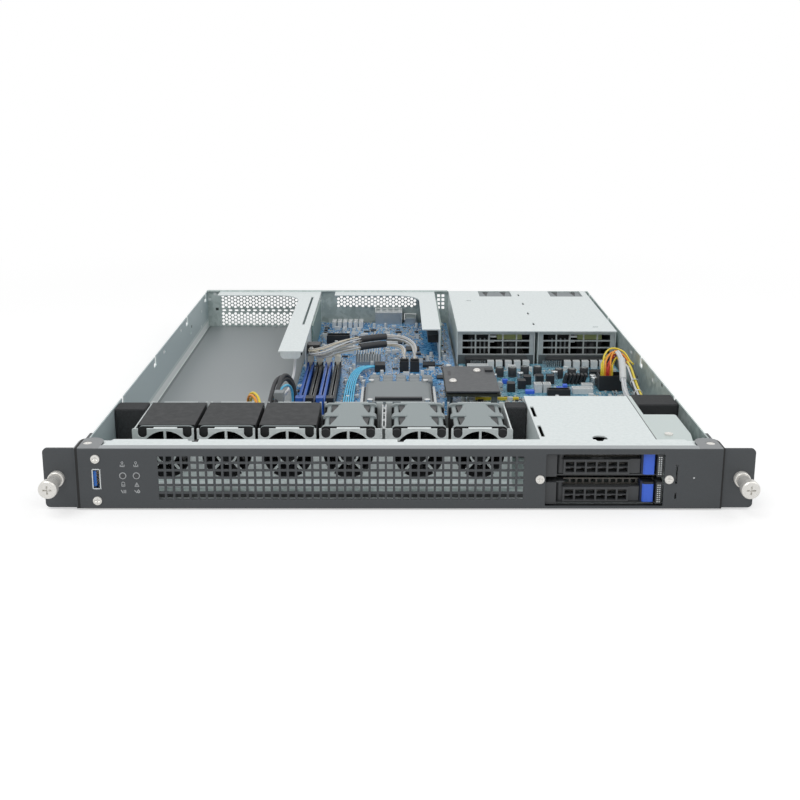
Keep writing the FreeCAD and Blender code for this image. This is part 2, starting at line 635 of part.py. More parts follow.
def notch_tool(x, y0, y1, radius):
    """A U notch, open at the top, round a fan's mounting hole."""
    z = FAN_Z + FAN_HOLE_OFFSET
    return joined(rod(x, y0, z, radius, y1 - y0, "y"), block(x - radius, x + radius, y0, y1, z, HEIGHT + 1))


def fan_bracket():
    front_end = BRACKET_FRONT + STEEL
    floor = block(BRACKET_LEFT, BRACKET_RIGHT, BRACKET_FRONT - 12, BRACKET_REAR + STEEL, STEEL, 2 * STEEL)
    loop = rect(BRACKET_LEFT, BRACKET_RIGHT, STEEL, BRACKET_TOP, 1.0)
    ducts = [((x, FAN_Z), FAN_BORE_R - 0.8) for x in FAN_XS]
    front = sheet("front", BRACKET_FRONT, STEEL, loop, ducts)
    rear = sheet("front", BRACKET_REAR, STEEL, loop, ducts)
    ends = [block(x, x + STEEL, BRACKET_FRONT, BRACKET_REAR + STEEL, STEEL, BRACKET_TOP - 2)
            for x in (BRACKET_LEFT, BRACKET_RIGHT - STEEL)]
    cuts = []
    for y0, y1 in ((BRACKET_FRONT - 1, front_end + 1), (BRACKET_REAR - 1, BRACKET_REAR + STEEL + 1)):
        for x in FAN_XS:
            cuts += [notch_tool(x + s * FAN_HOLE_OFFSET, y0, y1, PIN_STEM_R + GAP + 0.3) for s in (-1, 1)]
        for a, b in zip(FAN_XS, FAN_XS[1:]):
            mid = (a + b) / 2
            cuts.append(block(mid - 1.1, mid + 1.1, y0, y1, FAN_Z + 9, HEIGHT + 1))
    guards = []
    for x in FAN_XS:
        guards.append(sheet("front", BRACKET_FRONT, STEEL, ((x, FAN_Z), GUARD_RING_R + GUARD_WIRE / 2),
                            [((x, FAN_Z), GUARD_RING_R - GUARD_WIRE / 2)]))
        for angle in (90, -50, -130):
            bar = block(GUARD_RING_R, FAN_BORE_R, BRACKET_FRONT, front_end, -GUARD_BAR / 2, GUARD_BAR / 2)
            bar.rotate(Vector(0, 0, 0), AXES["y"], -angle)
            guards.append(moved(bar, x=x, z=FAN_Z))
    tabs = [block(x - 8.3, x + 8.3, BRACKET_FRONT, FAN_FRONT - GAP, BRACKET_TOP - STEEL, BRACKET_TOP)
            for x in FAN_XS]
    return less(joined(floor, front, rear, *ends, *guards, *tabs), *cuts)


def rubber_pins():
    pins = []
    for x in FAN_XS[3:]:
        for s in (-1, 1):
            px = x + s * FAN_HOLE_OFFSET
            pz = FAN_Z + FAN_HOLE_OFFSET
            head = rod(px, BRACKET_FRONT - 1.8, pz, PIN_HEAD_R, 1.8, "y")
            pins.append(joined(head, rod(px, BRACKET_FRONT, pz, PIN_STEM_R, FAN_FRONT - BRACKET_FRONT, "y")))
    return pins


def foam_blocks():
    low = STEEL + 0.1
    left = block(-WALL_IN + GAP, BRACKET_LEFT - GAP, BRACKET_REAR - 17, BRACKET_REAR + STEEL, low, UNDER_TOP)
    middle = block(BRACKET_RIGHT + GAP, BAY_LEFT - GAP, BRACKET_REAR - 12, BRACKET_REAR + STEEL + 2, low,
                   UNDER_TOP)
    right = block(BAY_RIGHT + GAP, WALL_IN - GAP, BAY_REAR - 18, BAY_REAR + 8, low, UNDER_TOP)
    return [left, middle, right]


def insulation_films():
    """A film folded over each of the first three fans, and the sheet on the floor of the card bay."""
    film = 0.4
    half = FAN_SIZE / 2 + 0.1
    top = FAN_BASE + FAN_SIZE
    films = []
    for x in FAN_XS[:3]:
        cover = block(x - half - film, x + half + film, FAN_FRONT + 2, FAN_REAR - 1.5, top, top + film)
        skirts = [block(x + a, x + a + film, FAN_FRONT + 2, FAN_REAR - 1.5, top - 9, top + film)
                  for a in (-half - film, half)]
        films.append(joined(cover, *skirts))
    floor = sheet("top", STEEL, film, rect(-WALL_IN + 1, MAIN_LEFT - 3, BRACKET_REAR + STEEL + 3,
                                           REAR_FACE - 1, 2))
    return films + [floor]


# ---- drive bay
def shelf_screw():
    return (BAY_RIGHT + 9, FRONT + 36)


def drive_cage():
    front = WEB_FRONT + STEEL
    top_front = FRONT + 19 + GAP
    mid = (BAY_LEFT + BAY_RIGHT) / 2
    notch = [(mid - 5.2, top_front), (mid - 5.2, top_front + 10, 5), (mid + 5.2, top_front + 10, 5),
             (mid + 5.2, top_front)]
    loop = [(BAY_LEFT, top_front)] + notch + [(BAY_RIGHT, top_front), (BAY_RIGHT, BAY_REAR),
                                              (BAY_LEFT, BAY_REAR)]
    slots = [rect(BAY_LEFT + 1.6, BAY_LEFT + 4.2, y, y + 24, 0.6) for y in (top_front + 8, top_front + 52)]
    top = sheet("top", UNDER_TOP, STEEL, loop, slots)
    wall = sheet("side", BAY_LEFT, STEEL,
                 [(front, PANEL_SHEET), (PAN_FRONT, PANEL_SHEET), (PAN_FRONT, STEEL), (BAY_REAR, STEEL),
                  (BAY_REAR, UNDER_TOP), (top_front, UNDER_TOP), (top_front, UNDER_TOP - 1.5),
                  (front, UNDER_TOP - 1.5)])
    walls = [wall, moved(wall, x=BAY_RIGHT - BAY_LEFT - STEEL)]
    rails = []
    for z in TRAY_ZS:
        ledge = z - GAP - 0.8
        rails += [block(x0, x1, front + 4, TRAY_END, ledge, ledge + 0.8)
                  for x0, x1 in ((BAY_LEFT, TRAY_LEFT + 2.4), (TRAY_RIGHT - 2.4, BAY_RIGHT))]
    shelf = sheet("top", SHELF_TOP - STEEL, STEEL,
                  [(BAY_RIGHT - STEEL, top_front), (BAY_RIGHT + SHELF_REACH - 3, top_front),
                   (BAY_RIGHT + SHELF_REACH, top_front + 18),
                   (BAY_RIGHT + SHELF_REACH, top_front + SHELF_DEPTH,
                    2), (BAY_RIGHT - STEEL, top_front + SHELF_DEPTH)],
                  [(shelf_screw(), SCREW_HOLE_R)])
    leg = block(BAY_RIGHT + SHELF_REACH - STEEL, BAY_RIGHT + SHELF_REACH, top_front + 20,
                top_front + SHELF_DEPTH - 2, STEEL, SHELF_TOP)
    return joined(top, *walls, *rails, shelf, leg)


def drive_backplane():
    y = TRAY_END + 4.2
    board = block(BAY_LEFT + STEEL + GAP, BAY_RIGHT - STEEL - GAP, y, y + BOARD, STEEL, UNDER_TOP - 1)
    plugs = [block(TRAY_LEFT + 14, TRAY_LEFT + 56, y - 3.8, y, z + 3.4, z + 8.4) for z in TRAY_ZS]
    sockets = [block(TRAY_LEFT + 6, TRAY_LEFT + 24, y + BOARD, y + BOARD + 5.5, 12, 22),
               block(TRAY_LEFT + 36, TRAY_LEFT + 62, y + BOARD, y + BOARD + 5.5, 10, 18)]
    return joined(board, *plugs, *sockets)


def drive_tray(z):
    """A sled for a 2.5-inch drive: base, two rails and the moulded front that holds the lever."""
    top = z + TRAY_HEIGHT
    base = sheet("top", z, TRAY_SHEET, rect(TRAY_LEFT, TRAY_RIGHT, TRAY_BACK - TRAY_SHEET, TRAY_END, 1),
                 [rect(TRAY_LEFT + 10, TRAY_RIGHT - 10, y, y + 34, 3)
                  for y in (TRAY_BACK + 8, TRAY_BACK + 50)])
    rails = [block(x, x + TRAY_RAIL, TRAY_BACK - TRAY_SHEET, TRAY_END, z, z + TRAY_RAIL_TALL)
             for x in (TRAY_LEFT, TRAY_RIGHT - TRAY_RAIL)]
    windows = [rect(TRAY_LEFT + 13 + 8.4 * i, TRAY_LEFT + 18.5 + 8.4 * i, z0, z0 + 3.4, 0.4)
               for i in range(7) for z0 in (z + 3.0, z + 7.6)]
    windows += [rect(TRAY_LEFT + 14 + 4.6 * i, TRAY_LEFT + 17.2 + 4.6 * i, z + 12.3, z + 14.9)
                for i in range(12)]
    back = sheet("front", TRAY_BACK - TRAY_SHEET, TRAY_SHEET, rect(TRAY_LEFT, TRAY_RIGHT, z, top), windows)
    blocky = block(TRAY_LEFT, TRAY_LEFT + BLOCK_WIDTH, TRAY_FACE, TRAY_BACK, z, top)
    gasket = block(GASKET_LEFT, TRAY_RIGHT, TRAY_FACE, TRAY_BACK, z, top)
    shelf = block(TRAY_LEFT, TRAY_RIGHT, TRAY_FACE + 2.6, TRAY_BACK, z, z + 0.9)
    hood = block(TRAY_LEFT, LEVER_PIN_X + 3.0, TRAY_FACE + 2.6, TRAY_BACK, top - 0.9, top)
    pin = rod(LEVER_PIN_X, LEVER_PIN_Y, z, 1.0, TRAY_HEIGHT, "z")
    return joined(base, *rails, back, blocky, gasket, shelf, hood, pin)


def tray_lever(z):
    """The release lever: it turns about the upright pin at its left end and carries six windows."""
    low = z + 0.9 + GAP
    high = low + LEVER_TALL
    half = LEVER_THICK / 2
    y0 = LEVER_PIN_Y - half
    y1 = LEVER_PIN_Y + half
    loop = [(LEVER_PIN_X - half, y0, half - 0.05), (LEVER_RIGHT, y0, 0.5),
            (LEVER_RIGHT, y1 - LEVER_HANG, 0.5),
            (LEVER_PIN_X + 8, y1 - LEVER_HANG), (LEVER_PIN_X + 6, y1), (LEVER_PIN_X - half, y1, half - 0.05)]
    bar = sheet("top", low, LEVER_TALL, loop)
    boss = rod(LEVER_PIN_X, LEVER_PIN_Y, low, half - 0.1, TRAY_HEIGHT - 2 * (0.9 + GAP), "z")
    first = LEVER_PIN_X + 1.8
    frame_right = first + LEVER_WINDOWS * WINDOW_PITCH + 1.5
    frame = block(first, frame_right, y0 - LEVER_FACE, y0, low, high)
    cuts = [rod(LEVER_PIN_X, LEVER_PIN_Y, low - 1, 1.0 + RUNNING, TRAY_HEIGHT, "z")]
    sill = high - WINDOW_RIM - WINDOW_TALL
    middle = sill + WINDOW_TALL / 2
    for i in range(LEVER_WINDOWS):
        x = first + 1.4 + i * WINDOW_PITCH
        for z0, z1 in ((middle + 0.3, high - WINDOW_RIM), (sill, middle - 0.3)):
            cuts.append(block(x, x + WINDOW_WIDTH, y0 - LEVER_FACE - 1, y1 + 1, z0, z1))
    return less(joined(bar, boss, frame), *cuts)


def tray_latch(z):
    """The coloured catch at the lever's free end."""
    y1 = TRAY_BACK - TRAY_SHEET - GAP
    y0 = TRAY_FACE + 0.8
    loop = [(LATCH_LEFT, y0 + 2.2, 0.6), (LATCH_LEFT + 2.4, y0, 0.6), (LATCH_RIGHT, y0, 0.8),
            (LATCH_RIGHT, y1), (LATCH_LEFT, y1)]
    return sheet("top", z + 0.9 + GAP, TRAY_HEIGHT - 0.9 - GAP, loop)


# ---- power supplies
def psu_cage():
    rear = REAR_FACE
    hand = [rect(x - 4.5, x + 31.5, rear - 28, rear + 1) for x in PSU_XS]
    seam = (PSU_XS[0] + PSU_XS[1]) / 2
    dashes = [rect(seam - 0.9, seam + 0.9, y, y + 9)
              for y in (CAGE_FRONT + 22, CAGE_FRONT + 68, CAGE_FRONT + 114, CAGE_FRONT + 158)]
    marks = [rect(x - 3, x + 3, y - 1.5, y + 1.5, 1.4)
             for x, y in ((PSU_XS[0] - 18, rear - 50), (PSU_XS[1] + 20, CAGE_FRONT + 14))]
    top = sheet("top", UNDER_TOP, STEEL, rect(CAGE_LEFT, CAGE_RIGHT, CAGE_FRONT - PSU_CAGE_LIP, rear),
                dashes + marks)
    top = less(top, *[sheet("top", UNDER_TOP - 1, 3, loop) for loop in hand])
    vents = [rect(rear - 60 + 7 * i, rear - 56 + 7 * i, z, z + 4) for i in range(6) for z in (18, 25, 32)]
    left = sheet("side", CAGE_LEFT, PSU_CAGE_WALL, rect(CAGE_FRONT, rear, STEEL, UNDER_TOP), vents)
    right = sheet("side", CAGE_RIGHT - PSU_CAGE_WALL, PSU_CAGE_WALL, rect(CAGE_FRONT, rear, STEEL, UNDER_TOP))
    inner = [PSU_XS[0] + PSU_HALF + GAP, PSU_XS[1] - PSU_HALF - GAP - PSU_CAGE_WALL]
    dividers = [block(x, x + PSU_CAGE_WALL, CAGE_FRONT, rear, STEEL, UNDER_TOP) for x in inner]
    return joined(top, left, right, *dividers)


def psu_module(x):
    """A slide-in supply: a sheet case with a grille at its inner end; socket, fan grille and handle behind."""
    case = block(x - PSU_HALF, x + PSU_HALF, PSU_FRONT, PSU_REAR, PSU_BASE, PSU_TOP)
    hollow = block(x - PSU_HALF + PSU_SHEET, x + PSU_HALF - PSU_SHEET, PSU_FRONT + PSU_SHEET,
                   PSU_REAR - PSU_SHEET,
                   PSU_BASE + PSU_SHEET, PSU_TOP - PSU_SHEET)
    pitch_x = (PSU_WIDTH - 7) / GRILLE_COLUMNS
    pitch_z = (GRILLE_HIGH - GRILLE_LOW) / GRILLE_ROWS
    cells = []
    for i in range(GRILLE_COLUMNS):
        for j in range(GRILLE_ROWS):
            x0 = x - PSU_HALF + 3.5 + i * pitch_x + GRILLE_BAR / 2
            z0 = GRILLE_LOW + j * pitch_z + GRILLE_BAR / 2
            cells.append(block(x0, x0 + pitch_x - GRILLE_BAR, PSU_FRONT - 1, PSU_FRONT + PSU_SHEET + 1,
                               z0, z0 + pitch_z - GRILLE_BAR))
    inlet_x = x - PSU_HALF + 19
    inlet_z = (PSU_BASE + PSU_TOP) / 2
    well = block(inlet_x - INLET_WIDTH / 2 - 1.5, inlet_x + INLET_WIDTH / 2 + 1.5,
                 PSU_REAR - INLET_DEEP - 1.5, PSU_REAR,
                 inlet_z - INLET_TALL / 2 - 1.5, inlet_z + INLET_TALL / 2 + 1.5)
    recess = sheet("front", PSU_REAR - INLET_DEEP, INLET_DEEP + 1,
                   rect(inlet_x - INLET_WIDTH / 2, inlet_x + INLET_WIDTH / 2, inlet_z - INLET_TALL / 2,
                        inlet_z + INLET_TALL / 2, 3))
    pins = [block(inlet_x + dx - 1, inlet_x + dx + 1, PSU_REAR - INLET_DEEP, PSU_REAR - 3,
                  inlet_z - 6 + dz, inlet_z - 2 + dz)
            for dx, dz in ((-7, 0), (0, 3), (7, 0))]
    grille_x = x + PSU_HALF - 19
    slots = []
    for k in range(-3, 4):
        reach = math.sqrt(15.5 ** 2 - (4.2 * k) ** 2)
        slots.append(block(grille_x - reach, grille_x + reach, PSU_REAR - PSU_SHEET - 1, PSU_REAR + 1,
                           inlet_z + 4.2 * k - 1.4, inlet_z + 4.2 * k + 1.4))
    shell = less(case, hollow, *cells, *slots)
    shell = less(joined(shell, well), recess)
    grip_x = x - 1
    handle = sheet("side", grip_x - 1.5, 3.0,
                   [(PSU_REAR - 0.5, inlet_z - 13), (PSU_REAR + HANDLE_REACH, inlet_z - 13, 4),
                    (PSU_REAR + HANDLE_REACH, inlet_z + 13, 4),
                    (PSU_REAR - 0.5, inlet_z + 13), (PSU_REAR - 0.5, inlet_z + 9.5),
                    (PSU_REAR + HANDLE_REACH - 3.2, inlet_z + 9.5, 1.5),
                    (PSU_REAR + HANDLE_REACH - 3.2, inlet_z - 9.5, 1.5), (PSU_REAR - 0.5, inlet_z - 9.5)])
    stack = [block(x - 26, x - 4, PSU_FRONT + 12, PSU_FRONT + 52, PSU_BASE + PSU_SHEET, PSU_TOP - 5),
             block(x + 2, x + 26, PSU_FRONT + 9, PSU_FRONT + 40, PSU_BASE + PSU_SHEET, PSU_TOP - 3.5),
             block(x - 30, x + 30, PSU_FRONT + 58, PSU_FRONT + 130, PSU_BASE + PSU_SHEET, PSU_TOP - 8)]
    fingers = block(x - 24, x + 24, PSU_FRONT - 6, PSU_FRONT + 14, PSU_BASE + PSU_SHEET + 7,
                    PSU_BASE + PSU_SHEET + 8.6)
    return joined(shell, *pins, handle, *stack, fingers)


def psu_release(x):
    """The spring catch beside the supply's handle, squeezed towards the handle to let the supply out."""
    low = PSU_BASE + 6
    y0 = PSU_REAR + GAP
    x1 = x + PSU_HALF - GAP
    loop = [(x1 - 1.6, y0), (x1, y0, 0.4), (x1, y0 + 11, 0.6), (x1 - 4.5, y0 + 11, 0.6),
            (x1 - 4.5, y0 + 9.4), (x1 - 1.6, y0 + 9.4)]
    return sheet("top", low, 16, loop)


# ---- risers
def riser_cage(wall_x, bar, front, end, setback):
    """A card cage: an upright wall, a bar along it and a rear bar, all one folded sheet.

    Where the wall is set back, the bar has a slot and a flap bent down at its front end.
    """
    outer = wall_x + STEEL
    inner = outer - bar - STEEL
    cross = REAR_FACE - RISER_CROSS
    loop = [(end, cross), (inner, cross, RISER_FILLET), (inner, front), (outer, front),
            (outer, REAR_FACE), (end, REAR_FACE)]
    length = REAR_FACE - front
    slot = rect(outer - 9, outer - 6.6, front + 0.39 * length, REAR_FACE - 31, 0.8)
    top = sheet("top", UNDER_TOP, STEEL, loop, [slot] if setback else [])
    foot = BOARD_TOP + RISER_WALL_FOOT
    wall_front = front + setback
    wall = sheet("side", wall_x, STEEL,
                 [(wall_front, foot), (REAR_FACE, foot), (REAR_FACE, UNDER_TOP), (wall_front, UNDER_TOP)],
                 [rect(REAR_FACE - 152, REAR_FACE - 48, foot + 8, foot + 20, 1)])
    legs = [block(wall_x, wall_x + STEEL, y, y + 6, BOARD_TOP, foot) for y in (wall_front + 4, cross - 4)]
    if not setback:
        return joined(top, wall, *legs)
    flap = sheet("front", front, STEEL, [(inner + 2, UNDER_TOP + 0.5), (inner + 2, UNDER_TOP - 6, 4),
                                         (outer - 2, UNDER_TOP - 6, 4), (outer - 2, UNDER_TOP + 0.5)])
    return joined(top, wall, *legs, flap)


def riser_card(wall_x):
    """A riser board on the wall's far side from the cards, its slot reaching through the wall's window."""
    foot = BOARD_TOP + RISER_WALL_FOOT
    x = wall_x + STEEL + GAP
    board = block(x, x + BOARD, REAR_FACE - 160, REAR_FACE - 40, BOARD_TOP, UNDER_TOP - GAP)
    slot = block(x - 11.5, x, REAR_FACE - 147, REAR_FACE - 54, foot + 9.5, foot + 17)
    groove = block(x - 12.5, x - 3, REAR_FACE - 143, REAR_FACE - 58, foot + 12.4, foot + 14.1)
    return less(joined(board, slot), groove)


# ---- boards
def port_windows():
    """Each rear port's left and right side and its top."""
    return [(-25.2, 5.2, BOARD_TOP + 13.7), (7.8, 21.2, BOARD_TOP + 7.2)]


def rear_ports():
    """The socket shells along the board's rear edge."""
    shells = []
    for x0, x1, top in port_windows():
        shell = block(x0 + 0.3, x1 - 0.3, MAIN_REAR - 9, REAR_FACE + 0.6, BOARD_TOP, top - 0.3)
        count = 2 if x1 - x0 > 20 else 1
        width = (x1 - x0 - 0.6) / count
        mouths = []
        for k in range(count):
            left = x0 + 0.3 + width * k
            mouths.append(block(left + PORT_WALL, left + width - PORT_WALL, REAR_FACE - PORT_DEEP, REAR + 1,
                                BOARD_TOP + PORT_SHEET, top - 0.3 - PORT_SHEET))
        shells.append(less(shell, *mouths))
    return shells


def main_board():
    loop = rect(MAIN_LEFT, MAIN_RIGHT, MAIN_FRONT, MAIN_REAR, 2)
    holes = [(place, SCREW_R + 0.1) for place in main_posts()]
    return [sheet("top", BOARD_Z, BOARD, loop, holes)] + rear_ports()


def main_posts():
    return [(x, y) for x in (MAIN_LEFT + 3.5, MAIN_RIGHT - 6)
            for y in (MAIN_FRONT + 6, -2.0, 66.0, MAIN_REAR - 10)]


def power_posts():
    return [(x, y) for x in (POWER_LEFT + 6, POWER_RIGHT - 6) for y in (POWER_FRONT + 6, POWER_REAR - 20)]


def power_board():
    loop = rect(POWER_LEFT, POWER_RIGHT, POWER_FRONT, POWER_REAR, 2)
    board = sheet("top", BOARD_Z, BOARD, loop, [(place, SCREW_R + 0.1) for place in power_posts()])
    mates = []
    for x in PSU_XS:
        shell = block(x - 30, x + 30, PSU_FRONT - 12, PSU_FRONT - 0.6, BOARD_TOP, BOARD_TOP + 7)
        groove = block(x - 24.5, x + 24.5, PSU_FRONT - 6.5, PSU_FRONT, PSU_BASE + PSU_SHEET + 6.6,
                       PSU_BASE + PSU_SHEET + 9.0)
        mates.append(less(shell, groove))
    return joined(board, *mates)


def cpu_socket():
    half_x = CPU_WIDTH / 2
    half_y = CPU_LENGTH / 2
    base = sheet("top", BOARD_TOP, 4.0, rect(CPU_X - half_x - 1.5, CPU_X + half_x + 1.5,
                                             CPU_Y - half_y - 1.5, CPU_Y + half_y + 1.5, 2))
    frame = sheet("top", BOARD_TOP + 4.0, 3.6, rect(CPU_X - half_x, CPU_X + half_x, CPU_Y - half_y,
                                                    CPU_Y + half_y, 2),
                  [rect(CPU_X - half_x + 9, CPU_X + half_x - 9, CPU_Y - half_y + 12, CPU_Y + half_y - 9, 2)])
    cover = sheet("top", BOARD_TOP + 7.6, 2.6, rect(CPU_X - half_x + 2, CPU_X + half_x - 2,
                                                    CPU_Y - half_y + 3, CPU_Y + half_y - 2, 3),
                  [rect(CPU_X - 15, CPU_X + 15, CPU_Y - half_y + 8, CPU_Y - half_y + 11, 0.8)])
    nuts = [rod(CPU_X + sx * (half_x - 4.5), CPU_Y + sy * (half_y - 4.5), BOARD_TOP + 7.6, 2.4, 4.6, "z")
            for sx in (-1, 1) for sy in (-1, 1)]
    return joined(base, frame, cover, *nuts)


def dimm_socket(x):
    """A memory socket: its slotted body, a fixed front tower and two cheeks that hold the rear latch."""
    half = DIMM_WIDTH / 2
    top = BOARD_TOP + DIMM_TALL
    body = block(x - half, x + half, DIMM_FRONT, DIMM_REAR - 9, BOARD_TOP, top)
    tower = block(x - half, x + half, DIMM_FRONT, DIMM_FRONT + 8, BOARD_TOP, BOARD_TOP + 17)
    sill = block(x - half, x + half, DIMM_REAR - 9, DIMM_REAR, BOARD_TOP, BOARD_TOP + 1.2)
    profile = [(DIMM_REAR - 9, BOARD_TOP), (DIMM_REAR, BOARD_TOP), (DIMM_REAR, DIMM_PIN_Z + 3.6),
               (DIMM_PIN_Y + 1.4, top + 1.4), (DIMM_REAR - 9, top + 1.4)]
    cheeks = [sheet("side", x0, CHEEK, profile) for x0 in (x - half, x + half - CHEEK)]
    slot = block(x - DIMM_SLOT / 2, x + DIMM_SLOT / 2, DIMM_FRONT + 4, DIMM_REAR, BOARD_TOP + 1.4,
                 BOARD_TOP + 20)
    bore = rod(x - half - 1, DIMM_PIN_Y, DIMM_PIN_Z, 1.0 + RUNNING, DIMM_WIDTH + 2, "x")
    return less(joined(body, tower, sill, *cheeks), slot, bore)


def dimm_latch(x):
    """The ejector latch: it turns about its own trunnions and swings rearwards."""
    half = DIMM_WIDTH / 2 - CHEEK - GAP
    arm = sheet("side", x - half, 2 * half,
                [(DIMM_PIN_Y - 2.0, DIMM_PIN_Z, 1.9), (DIMM_PIN_Y - 1.0, DIMM_PIN_Z - 2.0, 0.9),
                 (DIMM_PIN_Y + 2.2, DIMM_PIN_Z - 2.0, 1.0),
                 (DIMM_PIN_Y + 2.6, DIMM_PIN_Z + 8), (DIMM_PIN_Y + 2.6, DIMM_PIN_Z + 12),
                 (DIMM_PIN_Y - 2.4, DIMM_PIN_Z + 12)])
    wide = DIMM_WIDTH / 2 - 0.4
    head = sheet("side", x - wide, 2 * wide,
                 [(DIMM_PIN_Y - 2.4, DIMM_PIN_Z + 6.5), (DIMM_PIN_Y + 3.6, DIMM_PIN_Z + 6.5, 1),
                  (DIMM_PIN_Y + 5.0, DIMM_PIN_Z + 12.5, 1), (DIMM_PIN_Y - 2.4, DIMM_PIN_Z + 12.5, 1)])
    trunnion = rod(x - DIMM_WIDTH / 2 + 0.1, DIMM_PIN_Y, DIMM_PIN_Z, 1.0, DIMM_WIDTH - 0.2, "x")
    return joined(arm, head, trunnion)


def mezzanine_card():
    low = BOARD_TOP + MEZZ_RISE
    card = block(MEZZ_LEFT, MEZZ_RIGHT, MEZZ_FRONT, MEZZ_REAR, low, low + BOARD)
    posts = [rod(x, y, BOARD_TOP, 2.6, MEZZ_RISE, "z") for x, y in
             ((MEZZ_LEFT + 5, MEZZ_FRONT + 31), (MEZZ_LEFT + 5, MEZZ_REAR - 4),
              (MEZZ_RIGHT - 15.5, MEZZ_REAR - 15), (MEZZ_RIGHT - 5, MEZZ_FRONT + 4))]
    chips = block(MEZZ_LEFT + 3, MEZZ_RIGHT - 3, MEZZ_FRONT + 3, MEZZ_REAR - 8, low + BOARD,
                  low + BOARD + 1.4)
    plate = block(MEZZ_LEFT + 0.5, MEZZ_RIGHT - 0.5, MEZZ_FRONT + 0.5, MEZZ_REAR - 0.5, low + BOARD + 1.4,
                  low + BOARD + 2.8)
    return joined(card, *posts, chips, plate)


def board_components():
    """The larger components of both boards, and the posts that carry them."""
    deck = BOARD_TOP
    headers = [block(-72 + 5.9 * k, -67.6 + 5.9 * k, 218, 234, deck, deck + 7) for k in range(6)]
    fins = [block(-41 + 2.55 * k, -40 + 2.55 * k, 70, 98, deck + 3, deck + 11) for k in range(10)]
    heatsink = [block(-41, -17, 70, 98, deck, deck + 3)] + fins
    chips = [block(x, x + w, y, y + l, deck, deck + h) for x, y, w, l, h in (
        (-74, 150, 24, 11, 9), (-12, 150, 17, 17, 1.6), (8, 120, 14, 14, 2.0), (-34, -118, 12, 7, 5),
        (36, 20, 10, 10, 1.8),
        (-22.2, 44, 10, 13, 7), (24, 60, 12, 12, 3), (-74, 110, 30, 7, 8))]
    plugs = [block(x, x + 8.6, 44, 55, deck, deck + 12.4) for x in (1.5, 11.5)]
    chokes = [block(x, x + 9, y, y + 9, deck, deck + 7) for y in (-8, 3) for x in (-26, -14, -2, 10, 22)]
    caps = [rod(x, y, deck, 4, 9, "z") for x, y in ((95, 30), (107, 30), (119, 34), (131, 34), (150, 26),
                                                    (162, 26), (174, 30))]
    power = [block(x, x + w, y, y + l, deck, deck + h) for x, y, w, l, h in (
        (180, -14, 22, 12, 14), (96, -30, 30, 8, 9), (132, -32, 34, 9, 10), (100, 2, 12, 9, 6),
        (118, 2, 12, 9, 6), (140, 0, 26, 12, 8),
        (98, -104, 24, 18, 7), (134, -100, 34, 10, 9), (70, 24, 14, 14, 7), (66, 46, 20, 8, 6),
        (180, 30, 12, 8, 5))]
    posts = [rod(x, y, STEEL, STANDOFF_R, STANDOFF, "z") for x, y in main_posts() + power_posts()]
    return headers + [joined(*heatsink)] + chips + plugs + chokes + caps + power + posts


# ---- cables, each a list of points along its route
LOOM = [(-81.6, 41, 32.6), (-81.6, 31, 32.6), (-78.6, 20, 34.6), (-69, 19.5, 36.4), (-60, 36, 36.2),
        (-44, 65, 34.4), (-25, 82, 33.4), (-8, 90.6, 32.4), (6, 84, 31.8), (13, 69, 31.4), (15.8, 57, 30.2),
        (15.8, 49.5, 27), (15.8, 49.5, PLUG_TOP)]
LOOM_LOWER = [(-76.6, 41, 30.4), (-76.6, 32, 30.4), (-74, 24.6, 30), (-67, 26, 30), (-59, 42, 29.6),
              (-43, 59, 28.4), (-25, 72, 27.8), (-10, 79.6, 27.2), (1, 73, 27.4), (5.4, 60, 27.6),
              (5.8, 49.5, 26.3), (5.8, 49.5, PLUG_TOP)]
SIDE_CABLE = [(-96, 44, 30), (-96, 36, 30), (-95.4, 20, 26), (-94.4, 0, 21), (-94.4, -38, 20), (-96, -62, 21),
              (-100, -92, 24), (-104, -124, 27), (-104, BRACKET_BACK, 27)]
FLAT_CABLE = [(-22.2, 52, 13), (-30, 52, 13), (-38, 40, 14.4), (-42.6, 20, 15.2), (-45, -4, 15),
              (-46.4, -30, 14), (-46.8, -58, 13),
              (-46.8, -82, BOARD_TOP + 1.4)]
FAN_LEAD = [(-109, BRACKET_BACK, 33), (-109, -144, 33), (-111, -135, 38.6), (-115.4, -126, 40),
            (-119.6, -118, 35), (-120.8, -113, 24), (-120.8, -113, STEEL + 8.4)]
FAN_SLEEVE = [(-100.6, BRACKET_BACK, 30), (-100.6, -138, 30), (-100.6, -112, 33), (-100, -84, 38.6),
              (-96, -66, 38), (-90.5, -61, 30), (-88.8, -60.6, 20), (-88.8, -60.6, BOARD_TOP)]
TRUNK = [(206, -10, 32.6), (206, -20, 32.6), (205, -38, 28.6), (203, -62, 25.4), (200.6, -88, 25),
         (199.6, -110, 26),
         (199.6, BAY_REAR + 8, 26)]
WIRE = [(189, -8, BOARD_TOP + 14), (189, -8, 30), (190, -2, 36), (196, 6.6, 38.4), (203.4, 5, 37),
        (206, -3, 32.6), (206, -10, 32.6)]
WIRE_SPREAD = [(-1, 0), (-1, 0), (-1, 0.2), (-0.5, 1), (0.8, 0.8), (1, 0), (1, 0)]
WIRE_SPACING = 2.3


def wire(k):
    """One of three supply wires, from the plug up, over to the right and forward into the trunk."""
    return [(x + WIRE_SPACING * k * dx, y + WIRE_SPACING * k * dy, z) for (x, y, z),
            (dx, dy) in zip(WIRE, WIRE_SPREAD)]


def flat_strand(k):
    step = 1.9 * k
    x, y, z = FLAT_CABLE[0]
    return [(x, y - step, z)] + [(x + step, y - step, z) for x, y, z in FLAT_CABLE[1:]]


